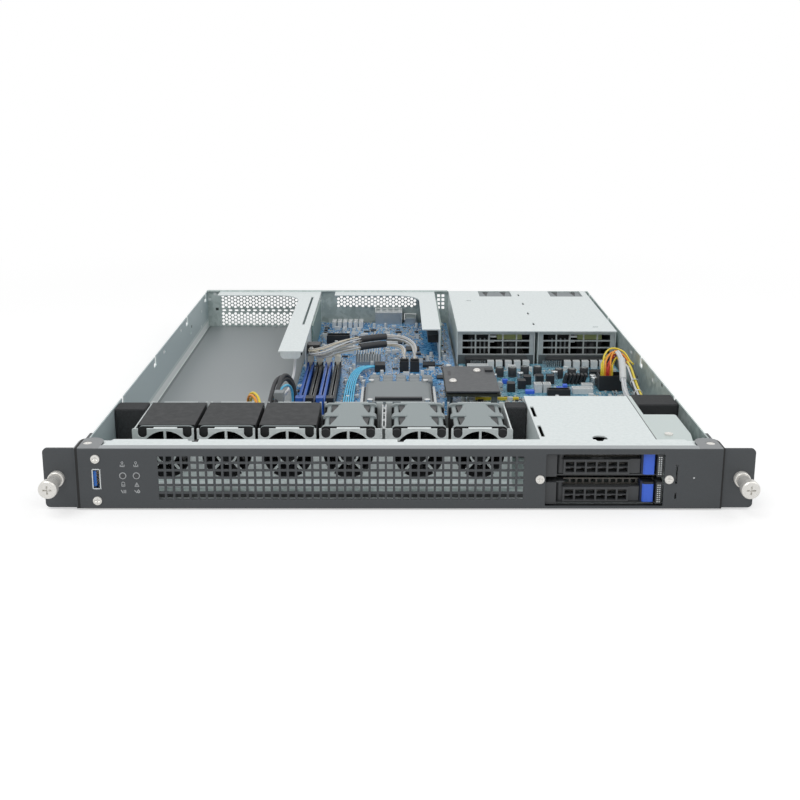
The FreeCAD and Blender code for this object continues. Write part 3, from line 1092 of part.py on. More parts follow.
def cables():
    loom_plug = block(-85.6, -73.8, 41, 54, 27.8, 36.6)
    side_plug = block(-101, -91, 44, 54, 25.6, 34)
    fan_plug = block(-125, -116, -118, -107, STEEL + 0.4, STEEL + 8.4)
    runs = [tube(LOOM, 2.6), tube(LOOM_LOWER, 2.2), tube(SIDE_CABLE, 1.3), tube(FAN_LEAD, 1.5),
            tube(FAN_SLEEVE, 2.3), tube(TRUNK, 3.3)]
    runs += [tube(flat_strand(k), 0.85) for k in range(3)]
    runs += [tube(wire(k), 0.9) for k in (-1, 0, 1)]
    return [loom_plug, side_plug, fan_plug] + runs


def main():
    os.makedirs("parts", exist_ok=True)
    save("chassis_pan", chassis_pan())
    save("rear_panel", rear_panel())
    save("front_panel", front_panel())
    save("front_crossmember", front_crossmember())
    ear = rack_ear()
    save("rack_ear_left", ear)
    save("rack_ear_right", mirrored(ear))
    screw = thumbscrew()
    save("thumbscrew_left", screw)
    save("thumbscrew_right", mirrored(screw))
    save("panel_fasteners", *panel_fasteners())
    save("front_io_board", front_io_board())
    save("power_button", button(POWER_X))
    save("id_button", button(ID_X))
    save("fan_bracket", fan_bracket())
    housing = fan_housing()
    first_rotor = fan_rotor(4.3, FRONT_BLADES, BLADE_TILT, 4.3)
    second_rotor = fan_rotor(FAN_LENGTH / 2 + 2.7, REAR_BLADES, -BLADE_TILT, FAN_LENGTH)
    for k, x in enumerate(FAN_XS, start=1):
        save(f"fan_housing_{k}", moved(housing, x, FAN_FRONT, FAN_Z))
        save(f"fan_front_rotor_{k}", moved(first_rotor, x, FAN_FRONT, FAN_Z))
        save(f"fan_rear_rotor_{k}", moved(second_rotor, x, FAN_FRONT, FAN_Z))
    save("insulation_films", *insulation_films())
    save("foam_and_rubber", *foam_blocks(), *rubber_pins())
    save("drive_cage", drive_cage())
    save("drive_backplane", drive_backplane())
    for name, z in zip(("lower", "upper"), TRAY_ZS):
        save(f"drive_tray_{name}", drive_tray(z))
        save(f"tray_lever_{name}", tray_lever(z))
        save(f"tray_latch_{name}", tray_latch(z))
    save("psu_cage", psu_cage())
    for name, x in zip(("left", "right"), PSU_XS):
        save(f"psu_{name}", psu_module(x))
        save(f"psu_release_{name}", psu_release(x))
    save("riser_cage_left", riser_cage(RISER_LEFT_WALL, RISER_LEFT_BAR, RISER_LEFT_FRONT, RISER_LEFT_END,
                                       RISER_SETBACK))
    save("riser_cage_right", riser_cage(RISER_RIGHT_WALL, RISER_RIGHT_BAR, RISER_RIGHT_FRONT,
                                        RISER_RIGHT_END, 0))
    save("riser_cards", riser_card(RISER_LEFT_WALL), riser_card(RISER_RIGHT_WALL))
    save("motherboard", *main_board())
    save("power_board", power_board())
    save("cpu_socket", cpu_socket())
    save("dimm_sockets", *[dimm_socket(x) for x in DIMM_XS])
    for k, x in enumerate(DIMM_XS, start=1):
        save(f"dimm_latch_{k}", dimm_latch(x))
    save("mezzanine_card", mezzanine_card())
    save("board_components", *board_components())
    save("cables", *cables())


main()
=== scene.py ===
import math
import bpy
import numpy as np
from mathutils import Matrix, Vector


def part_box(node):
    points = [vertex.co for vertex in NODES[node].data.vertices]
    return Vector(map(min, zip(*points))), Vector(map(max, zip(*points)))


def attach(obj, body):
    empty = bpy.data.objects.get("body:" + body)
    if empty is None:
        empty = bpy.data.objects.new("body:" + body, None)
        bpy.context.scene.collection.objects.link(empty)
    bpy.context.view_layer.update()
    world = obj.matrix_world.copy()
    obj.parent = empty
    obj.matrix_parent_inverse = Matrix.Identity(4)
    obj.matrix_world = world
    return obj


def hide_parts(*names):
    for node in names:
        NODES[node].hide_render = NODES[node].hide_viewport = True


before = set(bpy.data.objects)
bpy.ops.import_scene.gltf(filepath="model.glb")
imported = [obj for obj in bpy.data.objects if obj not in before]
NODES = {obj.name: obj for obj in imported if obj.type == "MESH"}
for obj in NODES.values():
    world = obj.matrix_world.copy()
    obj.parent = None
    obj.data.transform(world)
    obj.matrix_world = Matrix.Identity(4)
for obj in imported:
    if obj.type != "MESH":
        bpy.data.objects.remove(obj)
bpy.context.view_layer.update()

MM = 0.001


# ---- sizes in millimetres, read from the frame
def span(node):
    """The lowest and highest corner of a CAD node, in millimetres."""
    low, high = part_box(node)
    return np.array(low) / MM, np.array(high) / MM


def middle(node):
    """The middle of a CAD node's box, in millimetres."""
    low, high = span(node)
    return (low + high) / 2


BOARD_THICK = 1.6
WALL = 216.0                                # the outer face of the side walls
PANEL_LOW, PANEL_HIGH = span("front_panel")
FRONT, TOP = PANEL_LOW[1], PANEL_HIGH[2]
BOARD_TOP = span("power_board")[0][2] + BOARD_THICK
FANS = [middle(f"fan_housing_{k}") for k in range(1, 7)]
LATCHES = [middle(f"dimm_latch_{k}") for k in range(1, 5)]
SUPPLIES = [span("psu_left"), span("psu_right")]


# ---- materials
def linear(code, alpha=1.0):
    """An sRGB hex colour as linear light: v/12.92 below 0.04045, else ((v + 0.055)/1.055)^2.4."""
    values = [int(code[i:i + 2], 16) / 255 for i in (1, 3, 5)]
    return (*[v / 12.92 if v <= 0.04045 else ((v + 0.055) / 1.055) ** 2.4 for v in values], alpha)


def add(tree, kind, settings=None, **inputs):
    """Adds a node, sets its settings, and sets or links its inputs: a name, or _3 for the fourth."""
    node = tree.nodes.new(kind)
    for key, value in (settings or {}).items():
        setattr(node, key, value)
    for name, value in inputs.items():
        socket = node.inputs[int(name[1:]) if name[0] == "_" else name.replace("_", " ")]
        if isinstance(value, bpy.types.NodeSocket):
            tree.links.new(value, socket)
        else:
            socket.default_value = value
    return node


def blended(tree, kind, factor, a, b):
    """Mixes two colours or two numbers by a factor between 0 and 1."""
    first, second, out = (6, 7, 2) if kind == "RGBA" else (2, 3, 0)
    node = add(tree, "ShaderNodeMix", {"data_type": kind}, _0=factor, **{f"_{first}": a, f"_{second}": b})
    return node.outputs[out]


def inside(tree, axes, ranges):
    """1 inside a box in Object space, else 0: the product of |v - middle| <= half over the axes given."""
    mask = None
    for axis, (low, high) in ranges.items():
        part = add(tree, "ShaderNodeMath", {"operation": "COMPARE"}, _0=axes.outputs[axis],
                   _1=(low + high) / 2 * MM, _2=(high - low) / 2 * MM).outputs[0]
        if mask is not None:
            part = add(tree, "ShaderNodeMath", {"operation": "MULTIPLY"}, _0=mask, _1=part).outputs[0]
        mask = part
    return mask


def finish(name, base, shade, grain, metallic=0.0, rough=0.5, spread=0.06, bump=0.0, stretch=(1, 1, 1),
           cells=False, contrast=1.0, patches=(), coat=0.0):
    """A surface whose colour runs from base to shade in patches of the grain's size in mm, with the same
    pattern in its roughness and height; bump is the height in mm. Each patch gives a box of Object space
    its own colour, metallic and roughness."""
    material = bpy.data.materials.new(name)
    material.use_nodes = True
    tree = material.node_tree
    shader = tree.nodes["Principled BSDF"]
    coords = add(tree, "ShaderNodeTexCoord").outputs["Object"]
    scale = [s / (grain * MM) for s in stretch]
    scaled = add(tree, "ShaderNodeMapping", Vector=coords, Scale=scale).outputs[0]
    if cells:
        pattern = add(tree, "ShaderNodeTexVoronoi", Vector=scaled, Scale=1.0).outputs["Color"]
        pattern = add(tree, "ShaderNodeSeparateColor", Color=pattern).outputs[0]
    else:
        pattern = add(tree, "ShaderNodeTexNoise", Vector=scaled, Scale=1.0, Detail=4.0,
                      Roughness=0.6).outputs[0]
    reach = 0.5 / (1 + contrast)
    pattern = add(tree, "ShaderNodeMapRange", {"clamp": True}, Value=pattern, _1=0.5 - reach,
                  _2=0.5 + reach, _3=0.0, _4=1.0).outputs[0]
    colour = blended(tree, "RGBA", pattern, linear(base), linear(shade))
    glint = add(tree, "ShaderNodeMapRange", Value=pattern, _3=max(rough - spread, 0.02),
                _4=min(rough + spread, 1.0)).outputs[0]
    if patches:
        axes = add(tree, "ShaderNodeSeparateXYZ", Vector=coords)
        metal = add(tree, "ShaderNodeValue")
        metal.outputs[0].default_value = metallic
        metal = metal.outputs[0]
        for ranges, tint, patch_metal, patch_rough in patches:
            mask = inside(tree, axes, ranges)
            colour = blended(tree, "RGBA", mask, colour, linear(tint))
            metal = blended(tree, "FLOAT", mask, metal, patch_metal)
            glint = blended(tree, "FLOAT", mask, glint, patch_rough)
        tree.links.new(metal, shader.inputs["Metallic"])
    else:
        shader.inputs["Metallic"].default_value = metallic
    tree.links.new(colour, shader.inputs["Base Color"])
    tree.links.new(glint, shader.inputs["Roughness"])
    shader.inputs["Coat Weight"].default_value = coat
    if bump:
        height = add(tree, "ShaderNodeBump", Height=pattern, Strength=1.0, Distance=bump * MM)
        tree.links.new(height.outputs[0], shader.inputs["Normal"])
    return material


# ---- shapes, each (points in millimetres, [arrays of faces]) worked out as whole arrays
def bricks(rows):
    """Boxes from rows (x0, x1, y0, y1, z0, z1): the corners are every low and high choice of the row."""
    rows = np.asarray(rows, float).reshape(-1, 6)
    pick = np.array([[0, 2, 4], [1, 2, 4], [1, 3, 4], [0, 3, 4], [0, 2, 5], [1, 2, 5], [1, 3, 5], [0, 3, 5]])
    quads = np.array([[0, 3, 2, 1], [4, 5, 6, 7], [0, 1, 5, 4], [1, 2, 6, 5], [2, 3, 7, 6], [3, 0, 4, 7]])
    faces = (np.arange(len(rows))[:, None, None] * 8 + quads).reshape(-1, 4)
    return rows[:, pick].reshape(-1, 3), [faces]


def turned(centres, profile, axis="z", sides=24, closed=False):
    """Rings of radius r at height h along the axis, (r cos t, r sin t, h), joined from ring to ring; a closed
    profile joins its last ring to its first, any other has a flat cap at each end."""
    centres = np.asarray(centres, float).reshape(-1, 1, 1, 3)
    r, h = np.asarray(profile, float).T[:, :, None]
    t = np.linspace(0, 2 * np.pi, sides, endpoint=False)[None, :]
    a, b, c = r * np.cos(t), r * np.sin(t), h + 0 * t
    ring = {"z": (a, b, c), "x": (c, a, b), "y": (b, c, a)}[axis]
    points = centres + np.stack(ring, axis=-1)[None]
    copies, rings = points.shape[0], len(profile)
    base = np.arange(copies)[:, None, None] * rings * sides
    k = np.arange(rings if closed else rings - 1)[None, :, None]
    s = np.arange(sides)[None, None, :]
    here, above = k * sides, (k + 1) % rings * sides
    quads = np.stack([base + here + s, base + here + (s + 1) % sides,
                      base + above + (s + 1) % sides, base + above + s], axis=-1)
    faces = [quads.reshape(-1, 4)]
    if not closed:
        loop = np.arange(sides)[None, :]
        faces += [base[:, 0] + loop[:, ::-1], base[:, 0] + (rings - 1) * sides + loop]
    return points.reshape(-1, 3), faces


def prism(loop, low, high, plane="top"):
    """A flat outline carried straight from level low to level high: side walls and two caps. Its points are
    (x, y) seen from the top or (x, z) seen from the front."""
    loop = np.asarray(loop, float)
    count = len(loop)
    a, b = np.tile(loop.T, 2)
    c = np.repeat([low, high], count)
    points = np.stack((a, c, b) if plane == "front" else (a, b, c), axis=-1)
    i = np.arange(count)
    walls = np.stack([i, (i + 1) % count, (i + 1) % count + count, i + count], axis=-1)
    faces = [walls, i[None, ::-1], i[None] + count]
    return points, [f[:, ::-1] for f in faces] if plane == "front" else faces


def rounded(a0, a1, b0, b1, radius, steps=5):
    """A rectangle with quarter circles of the radius at its corners, counter-clockwise."""
    t = np.linspace(0, np.pi / 2, steps)
    t = (t[None, :] + np.arange(4)[:, None] * np.pi / 2).ravel()
    a = np.repeat([a1 - radius, a0 + radius, a0 + radius, a1 - radius], steps) + radius * np.cos(t)
    b = np.repeat([b1 - radius, b1 - radius, b0 + radius, b0 + radius], steps) + radius * np.sin(t)
    return np.stack([a, b], axis=-1)


def crossed_head(centres, radius, height, axis, side, dome=0.35, slot=0.42, rings=14, sides=48):
    """A screw head as a height over polar coordinates: h = height - dome (r/R)^3, less a cross recess
    whose depth falls off beyond the slot's half width. side is 1 or -1 along the axis."""
    centres = np.asarray(centres, float).reshape(-1, 1, 1, 3)
    r = np.concatenate([np.linspace(0.02, 1, rings), [1.0]])[:, None] * radius
    t = np.linspace(0, 2 * np.pi, sides, endpoint=False)[None, :]
    a, b = r * np.cos(t), r * np.sin(t)
    near = np.minimum(np.abs(a), np.abs(b))
    depth = np.clip((slot * radius / 2.2 - near) / (0.18 * radius), 0, 1) * (r < 0.62 * radius)
    h = height - dome * (r / radius) ** 3 - 0.45 * height * depth
    h[-1] = 0.0
    a, b, h = a * side, b, h * side
    points = centres + np.stack({"z": (a, b, h), "x": (h, a, b), "y": (b, h, a)}[axis], axis=-1)[None]
    count = rings + 1
    base = np.arange(len(points))[:, None, None] * count * sides
    k = np.arange(count - 1)[None, :, None] * sides
    s = np.arange(sides)[None, None, :]
    quads = np.stack([base + k + s, base + k + sides + s, base + k + sides + (s + 1) % sides,
                      base + k + (s + 1) % sides], axis=-1)
    loop = np.arange(sides)[None, :]
    faces = [quads.reshape(-1, 4), base[:, 0] + loop, base[:, 0] + (count - 1) * sides + loop[:, ::-1]]
    return points.reshape(-1, 3), faces


def piece(name, shapes, material, body="chassis", stands_for=(), bevel=0.0, sharp=35.0):
    """One object at the origin from several shapes, riding on a body and standing for the CAD nodes named."""
    starts = np.cumsum([0] + [len(points) for points, _ in shapes])
    points = np.concatenate([points for points, _ in shapes]) * MM
    faces = [row for (_, groups), start in zip(shapes, starts) for group in groups
             for row in (group + start).tolist()]
    mesh = bpy.data.meshes.new(name)
    mesh.from_pydata(points.tolist(), [], faces)
    mesh.materials.append(material)
    mesh.polygons.foreach_set("use_smooth", np.ones(len(mesh.polygons), bool))
    mesh.set_sharp_from_angle(angle=math.radians(sharp))
    obj = bpy.data.objects.new(name, mesh)
    bpy.context.scene.collection.objects.link(obj)
    if bevel:
        edge = obj.modifiers.new("edge", "BEVEL")
        edge.width = bevel * MM
        edge.segments = 2
        edge.limit_method = "ANGLE"
        edge.angle_limit = math.radians(40)
    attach(obj, body)
    if stands_for:
        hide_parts(*stands_for)
    return obj


def wire(name, route, radius, material, body="chassis"):
    """A round cable on one smooth NURBS line whose control points are the route's points."""
    curve = bpy.data.curves.new(name, "CURVE")
    curve.dimensions = "3D"
    line = curve.splines.new("NURBS")
    route = np.asarray(route, float) * MM
    line.points.add(len(route) - 1)
    line.points.foreach_set("co", np.hstack([route, np.ones((len(route), 1))]).ravel())
    line.order_u = 3
    line.use_endpoint_u = True
    line.resolution_u = 6
    curve.bevel_depth = radius * MM
    curve.bevel_resolution = 3
    curve.use_fill_caps = True
    curve.materials.append(material)
    obj = bpy.data.objects.new(name, curve)
    bpy.context.scene.collection.objects.link(obj)
    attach(obj, body)


def strands(route, count, spread, twist=0.5, start=0.0):
    """Lines round a route: each point moves by spread (side cos p + up sin p), p turning by twist a point."""
    route = np.asarray(route, float)
    spread = np.broadcast_to(np.asarray(spread, float), len(route))[:, None]
    along = np.gradient(route, axis=0)
    along /= np.linalg.norm(along, axis=1)[:, None]
    side = np.cross(along, [0.05, 0.03, 1.0])
    side /= np.linalg.norm(side, axis=1)[:, None]
    up = np.cross(side, along)
    angles = [start + twist * np.arange(len(route))[:, None] + 2 * np.pi * k / count for k in range(count)]
    return [route + spread * (side * np.cos(p) + up * np.sin(p)) for p in angles]


def leads(name, lines, radius, jackets):
    """One round lead along each line, numbered from 1, each in its own jacket."""
    for k, (line, jacket) in enumerate(zip(lines, jackets), 1):
        wire(f"{name}_{k}", line, radius, jacket)


# ---- the finishes, each named for what the real one is
def galvanised(name, base, shade, metallic, rough, patches):
    """Hot-dip galvanised sheet: a dull grey-green metal with faint crystals a few millimetres across."""
    return finish(name, base, shade, 4.0, metallic=metallic, rough=rough, spread=0.08, cells=True,
                  contrast=0.6, patches=patches)


def bright_zinc(name, patches=()):
    """Bright zinc-plated sheet of cages and brackets: nearly white, satin, with a fine even grain."""
    return finish(name, "#e8efef", "#dde5e5", 2.5, metallic=0.3, rough=0.42, spread=0.05, contrast=1.5,
                  patches=patches)


def powder_coat(name, base, shade, patches=()):
    """Charcoal powder coat: an even, slightly pebbled skin."""
    return finish(name, base, shade, 0.7, rough=0.55, spread=0.08, bump=0.02, patches=patches)


def filled_polyester(name, patches=()):
    """Glass-filled polyester of the fan housings: mid grey, faintly mottled, matt."""
    return finish(name, "#8f999a", "#9ba5a6", 1.2, rough=0.55, spread=0.08, bump=0.015, patches=patches)


def soldermask(name, base, shade, standing):
    """Soldermask over copper: the traces show as slightly lighter cells a millimetre or two wide. What stands
    on the board in the same solid has its own tint, metallic and roughness."""
    return finish(name, base, shade, 1.6, rough=0.35, spread=0.08, cells=True, contrast=0.8, coat=0.2,
                  patches=[({"Z": (BOARD_TOP + 0.05, 60)}, *standing)])


def pvc_jacket(colour, base, shade, grain, rough):
    """Soft PVC of a cable's jacket, nearly even in colour."""
    return finish(f"{colour}_pvc_jacket", base, shade, grain, rough=rough)


# the two side walls' inner faces, and the rivets and holes that show on them, as painted highlights (pale
# tints) and painted shade (dark tints): (wall, y, z, tint)
LEFT_WALL, RIGHT_WALL = (-215.2, -214.4), (214.4, 215.2)
DOTS = [(LEFT_WALL, 16, 36.3, "#ffffff"), (LEFT_WALL, 98, 36, "#ffffff"), (LEFT_WALL, 155, 26.4, "#3f4a4c"),
        (LEFT_WALL, 217, 28.4, "#e8efef"), (LEFT_WALL, 211, 12.8, "#e8efef"),
        (RIGHT_WALL, 17, 36.2, "#ffffff"), (RIGHT_WALL, -11, 20.7, "#4a5352"),
        (RIGHT_WALL, -68, 34.9, "#ffffff"), (RIGHT_WALL, -100, 40, "#4a5352")]
# the pan: painted shade on the strip of floor behind the front panel, under the cross member's flange, and a
# painted reflection on its left wall, palest near the floor
GALVANISED = galvanised("galvanised_sheet", "#b1bfbd", "#c5d1cf", 0.4, 0.42,
                        # painted shade on the floor under the front flange
                        [({"Y": (FRONT, FRONT + 27), "Z": (0.5, 1.1)}, "#1f2022", 0.0, 0.6),
                         # painted reflection on the left wall, in three bands that grow paler towards the
                         # floor
                         ({"X": LEFT_WALL}, "#bccacd", 0.2, 0.45),
                         ({"X": LEFT_WALL, "Z": (0, 11.5)}, "#d3dede", 0.1, 0.45),
                         ({"X": LEFT_WALL, "Z": (0, 8.5)}, "#f3f8f7", 0.0, 0.45)]
                        # painted highlights on the rivets and painted shade in the holes
                        + [({"X": wall, "Y": (y - 2.2, y + 2.2), "Z": (z - 1.3, z + 1.3)}, tint, 0.0, 0.5)
                           for wall, y, z, tint in DOTS])
# the same sheet on the rear wall, with the spot welds of its corner flange
WELDS = [(-206.6, 39, "#f4f8f8"), (-204.8, 21.4, "#39413f"), (-213, 32.7, "#e6ecec")]
REAR_SHEET = galvanised("galvanised_rear_sheet", "#b9c6c3", "#cbd6d4", 0.25, 0.45,
                        [({"X": (x - 1.6, x + 1.6), "Z": (z - 1.5, z + 1.5)}, tint, 0.1, 0.5)
                         for x, z, tint in WELDS])
ZINC = bright_zinc("bright_zinc_sheet")
# the cross member, with painted shade inside its two cable notches
NOTCHED = bright_zinc("bright_zinc_cross_member",
                      [({"X": (x, x + 4.2), "Y": (-246.5, -233), "Z": (40, 44)}, "#17181a", 0.0, 0.7)
                       for x in (-1.4, -142.5)])
# the front panel: a painted highlight on its top-lit lip and corner tabs, painted shade on the foot behind
# the vents, and a painted shadow line at both ends where the ears step back
LIP = (TOP - 0.2, TOP + 1)
PANEL_COAT = powder_coat("charcoal_powder_coat_panel", "#3f4346", "#484b4e",
                         # painted highlight on the lip and its tabs, lit from above
                         [({"Z": LIP}, "#a3a8aa", 0.0, 0.5),
                          ({"Z": LIP, "X": (-221, -203)}, "#8b8e90", 0.0, 0.5),
                          ({"Z": LIP, "X": (203, 221)}, "#8b8e90", 0.0, 0.5),
                          # painted shade on the foot behind the vents
                          ({"Z": (-1, 1.3), "Y": (FRONT + 1.3, FRONT + 30)}, "#1b1c1e", 0.0, 0.6),
                          # painted shadow lines where the panel steps to the ears
                          ({"X": (-219.2, -217.4)}, "#111213", 0.0, 0.7),
                          ({"X": (218.8, 220.2)}, "#111213", 0.0, 0.7)])
EAR_COAT = powder_coat("charcoal_powder_coat_ears", "#414548", "#4a4d50")
# nickel-plated steel of screws and knobs: bright and slightly warm, soft reflections
NICKEL = finish("nickel_plate", "#eae8e3", "#dddbd6", 1.5, metallic=0.45, rough=0.3)
# light grey printing ink of the icons
INK = finish("light_grey_ink", "#c3c6c8", "#b4b7b9", 0.8, rough=0.7)
# polycarbonate light pipe behind the small hole
LENS = finish("clear_light_pipe", "#d9dcdd", "#c8cccd", 0.6, rough=0.2, coat=0.6)
# the housings, with painted shade, near black, below their top frame and on their front face
FAN_GREY = filled_polyester("grey_filled_polyester",
                            [({"Z": (0, FANS[0][2] + 17.4)}, "#222426", 0.0, 0.6),
                             ({"Y": (FANS[0][1] - 28.2, FANS[0][1] - 27.9)}, "#1b1c1e", 0.0, 0.6)])
FAN_TOP = filled_polyester("grey_polyester_web")
# the rotors' moulding, in black, and the same dark as painted shade in the pockets on top of fans 4 to 6
FAN_BLACK_AND_SHADE = finish("black_polyester_and_pocket_shade", "#1b1c1f", "#242629", 1.0, rough=0.45, bump=0.01)
# closed-cell foam: black with a dusty grain half a millimetre across that catches light
FOAM = finish("closed_cell_foam", "#202123", "#3a3c3e", 0.6, rough=0.9, spread=0.05, bump=0.12, contrast=2.0)
# moulded rubber plugs
RUBBER = finish("moulded_rubber", "#232427", "#2d2f31", 1.5, rough=0.6, bump=0.01)
# polycarbonate film: satin dark grey over the fans, mid grey on the floor of the card bay, with painted shade
# along the left wall there
FLOOR_FILM = (0.5, 2.0)
FILM = finish("polycarbonate_film", "#232527", "#2b2d2f", 6.0, rough=0.65, spread=0.1, bump=0.03,
              patches=[({"Z": FLOOR_FILM}, "#969c9e", 0.0, 0.45),
                       # painted shade on the floor film beside the left wall
                       ({"Z": FLOOR_FILM, "X": (-216, -211.5)}, "#767d7e", 0.0, 0.5)])
# ABS of the sled fronts and levers: dark, spark-eroded fine texture; the sled behind it is plated steel
SLED_BACK = span("drive_tray_lower")[0][1] + 8.6
SLED_ABS = finish("textured_abs_and_steel", "#3b3d3f", "#444648", 0.6, rough=0.5, spread=0.08, bump=0.015,
                  patches=[({"Y": (SLED_BACK, 0)}, "#66645f", 0.5, 0.4)])
LEVER_ABS = finish("textured_abs", "#3b3d3f", "#454749", 0.6, rough=0.48, spread=0.08, bump=0.015)
# gloss ABS of the blue catches, with painted shade on the lower one's top and along the left side of both
CATCH_LEFT, CATCH_TOP = span("tray_latch_lower")[0][0], span("tray_latch_lower")[1][2]
CATCH_SIDE, CATCH_DEPTH = (CATCH_LEFT - 0.1, CATCH_LEFT + 1.3), (FRONT, FRONT + 20)
BLUE_ABS = finish("blue_abs", "#3a67dd", "#4271e6", 1.5, rough=0.38, spread=0.04, bump=0.006,
                  patches=[({"Z": (CATCH_TOP - 1.6, CATCH_TOP + 0.1), "Y": CATCH_DEPTH}, "#16181c", 0.0, 0.6),
                           ({"X": CATCH_SIDE, "Y": CATCH_DEPTH}, "#1b2540", 0.0, 0.5)])
# nylon of the board connectors in grey-white and black, and of the memory latches in cream
NYLON = finish("white_nylon", "#dfe2e2", "#cfd3d4", 1.2, rough=0.5, bump=0.008)
CREAM = finish("cream_nylon", "#f6f3e6", "#ece8d8", 1.2, rough=0.42, bump=0.006)
BLACK_NYLON = finish("black_nylon", "#1d1e21", "#292b2e", 1.2, rough=0.45, bump=0.008)
# anodised aluminium fins, drawn lengthwise
ALUMINIUM = finish("anodised_aluminium", "#b9bfc2", "#a9b0b3", 1.0, metallic=0.75, rough=0.35,
                   stretch=(1, 0.1, 1))
# tin-plated cans and shells
TIN = finish("tin_plate", "#cfd3d4", "#bcc1c3", 1.0, metallic=0.8, rough=0.26, spread=0.08)
# dull tin of solder joints and can tops: pale, only half mirror-like
SOLDER = finish("dull_tin_solder", "#dde1e2", "#c9ced0", 0.8, metallic=0.35, rough=0.4, spread=0.08)
# the thin gold plate of the socket's contacts
GOLD = finish("gold_flash", "#d9b25f", "#c79f4d", 0.8, metallic=0.9, rough=0.3)
# moulded ferrite blocks of the chokes
FERRITE = finish("moulded_ferrite", "#878d90", "#959b9e", 0.7, rough=0.6, bump=0.02)
# black epoxy bodies of chips and resistors
EPOXY = finish("black_epoxy", "#1f2124", "#2a2c30", 0.6, rough=0.5, bump=0.01)
# ceramic chip capacitors: buff, and no two quite the same
CERAMIC = finish("ceramic_chip", "#c5bcab", "#d6d1c6", 2.0, rough=0.5, cells=True)
# the boards' white legend
SILK = finish("white_screen_print", "#dfe6ea", "#cdd6db", 0.6, rough=0.6)
# the blue board's standing parts are plated, and the teal boards' are black
BOARD_BLUE = soldermask("blue_soldermask", "#1b66a6", "#57a3d3", ("#c4c9ca", 0.8, 0.3))
BOARD_TEAL = soldermask("teal_soldermask", "#3c7f9c", "#7fb3c4", ("#1d1e21", 0.0, 0.5))
# the raised card, from below: plated posts, the board's edge, its black frame and the dark grey plate
CARD_TOP = span("mezzanine_card")[1][2]
CARD = finish("mezzanine_plate", "#3c3f42", "#46494c", 3.0, rough=0.45, spread=0.08,
              patches=[({"Z": (0, CARD_TOP - 4.4)}, "#6f7472", 0.6, 0.4),
                       ({"Z": (CARD_TOP - 4.42, CARD_TOP - 2.78)}, "#33362d", 0.0, 0.5),
                       ({"Z": (CARD_TOP - 2.78, CARD_TOP - 1.42)}, "#1a1b1d", 0.0, 0.6)])
# the cables' jackets, and the black sleeve, which is a little rougher
CABLE_GREY = pvc_jacket("grey", "#c9c7c2", "#b9b7b2", 4.0, 0.45)
CABLE_WHITE = pvc_jacket("white", "#dfe1e3", "#cfd2d5", 4.0, 0.42)
CABLE_CREAM = pvc_jacket("cream", "#d8cfbb", "#c8bfab", 4.0, 0.45)
CABLE_BLACK = finish("black_pvc_sleeve", "#2c2d30", "#37393c", 3.0, rough=0.6, bump=0.02)
CABLE_CYAN = pvc_jacket("cyan", "#45b9e4", "#6fd0f2", 4.0, 0.4)
CABLE_YELLOW = pvc_jacket("yellow", "#e8cf2c", "#f2dd55", 3.0, 0.42)
CABLE_ORANGE = pvc_jacket("orange", "#f0921f", "#f5a742", 3.0, 0.42)
CABLE_RED = pvc_jacket("red", "#c9372c", "#d4513f", 3.0, 0.42)


def socket_colours():
    """Thermoplastic of the memory sockets: every other one blue, the rest black."""
    patches = [({"X": (x - 4, x + 4)}, "#1d1e22", 0.0, 0.5) for x in (LATCHES[1][0], LATCHES[3][0])]
    return finish("blue_and_black_lcp", "#2a55a8", "#3463b8", 1.5, rough=0.45, bump=0.008, patches=patches)


def processor_colours():
    """Black base, plated load frame, dark grey cover and plated nuts, from the board upwards."""
    low = BOARD_TOP + 4.0
    return finish("processor_socket_mix", "#7f8688", "#899093", 2.0, rough=0.5, bump=0.01,
                  patches=[({"Z": (0, low)}, "#1b1c1f", 0.0, 0.5),
                           ({"Z": (low, low + 3.58)}, "#c9cdce", 0.75, 0.3),
                           ({"Z": (low + 6.25, low + 12)}, "#d9dbdb", 0.8, 0.25)])


def riser_colours():
    """Grey-green soldermask boards; the slots that reach through the walls are black."""
    low, high = span("riser_cards")
    return finish("riser_board", "#6f857f", "#7f9490", 2.0, rough=0.4, cells=True,
                  patches=[({"X": (low[0] - 1, low[0] + 11.5)}, "#1b1c1f", 0.0, 0.5),
                           ({"X": (high[0] - 13.2, high[0] - 1.62)}, "#1b1c1f", 0.0, 0.5)])


def bay_colours():
    """The cage's bright zinc sheet, a seam along its right edge, and the duller side shelf just below it."""
    right = span("drive_tray_lower")[1][0] + 2.0
    return bright_zinc("drive_cage_sheet",
                       [({"X": (right - 2.8, right + 40)}, "#cbd6d4", 0.3, 0.42),
                        ({"X": (right - 3.5, right - 2.8), "Z": (41.6, 43)}, "#515857", 0.3, 0.5)])


def front_board_colours():
    """Green board, black tact switches, a tin-plated shell and its blue tongue."""
    x = span("front_io_board")[0][0] + 7.5
    face = FRONT + 12.0
    return finish("front_board_mix", "#1d5c46", "#2a7058", 2.0, rough=0.4,
                  patches=[({"Y": (FRONT - 1, face - 0.01)}, "#202124", 0.0, 0.5),
                           ({"X": (x - 3, x + 3), "Y": (FRONT - 1, face - 0.01)}, "#d8dbdb", 0.8, 0.25),
                           ({"X": (x - 2.25, x - 0.15), "Z": (15.9, 26.9), "Y": (FRONT + 1.1, face)},
                            "#2d6fc4", 0.0, 0.4)])


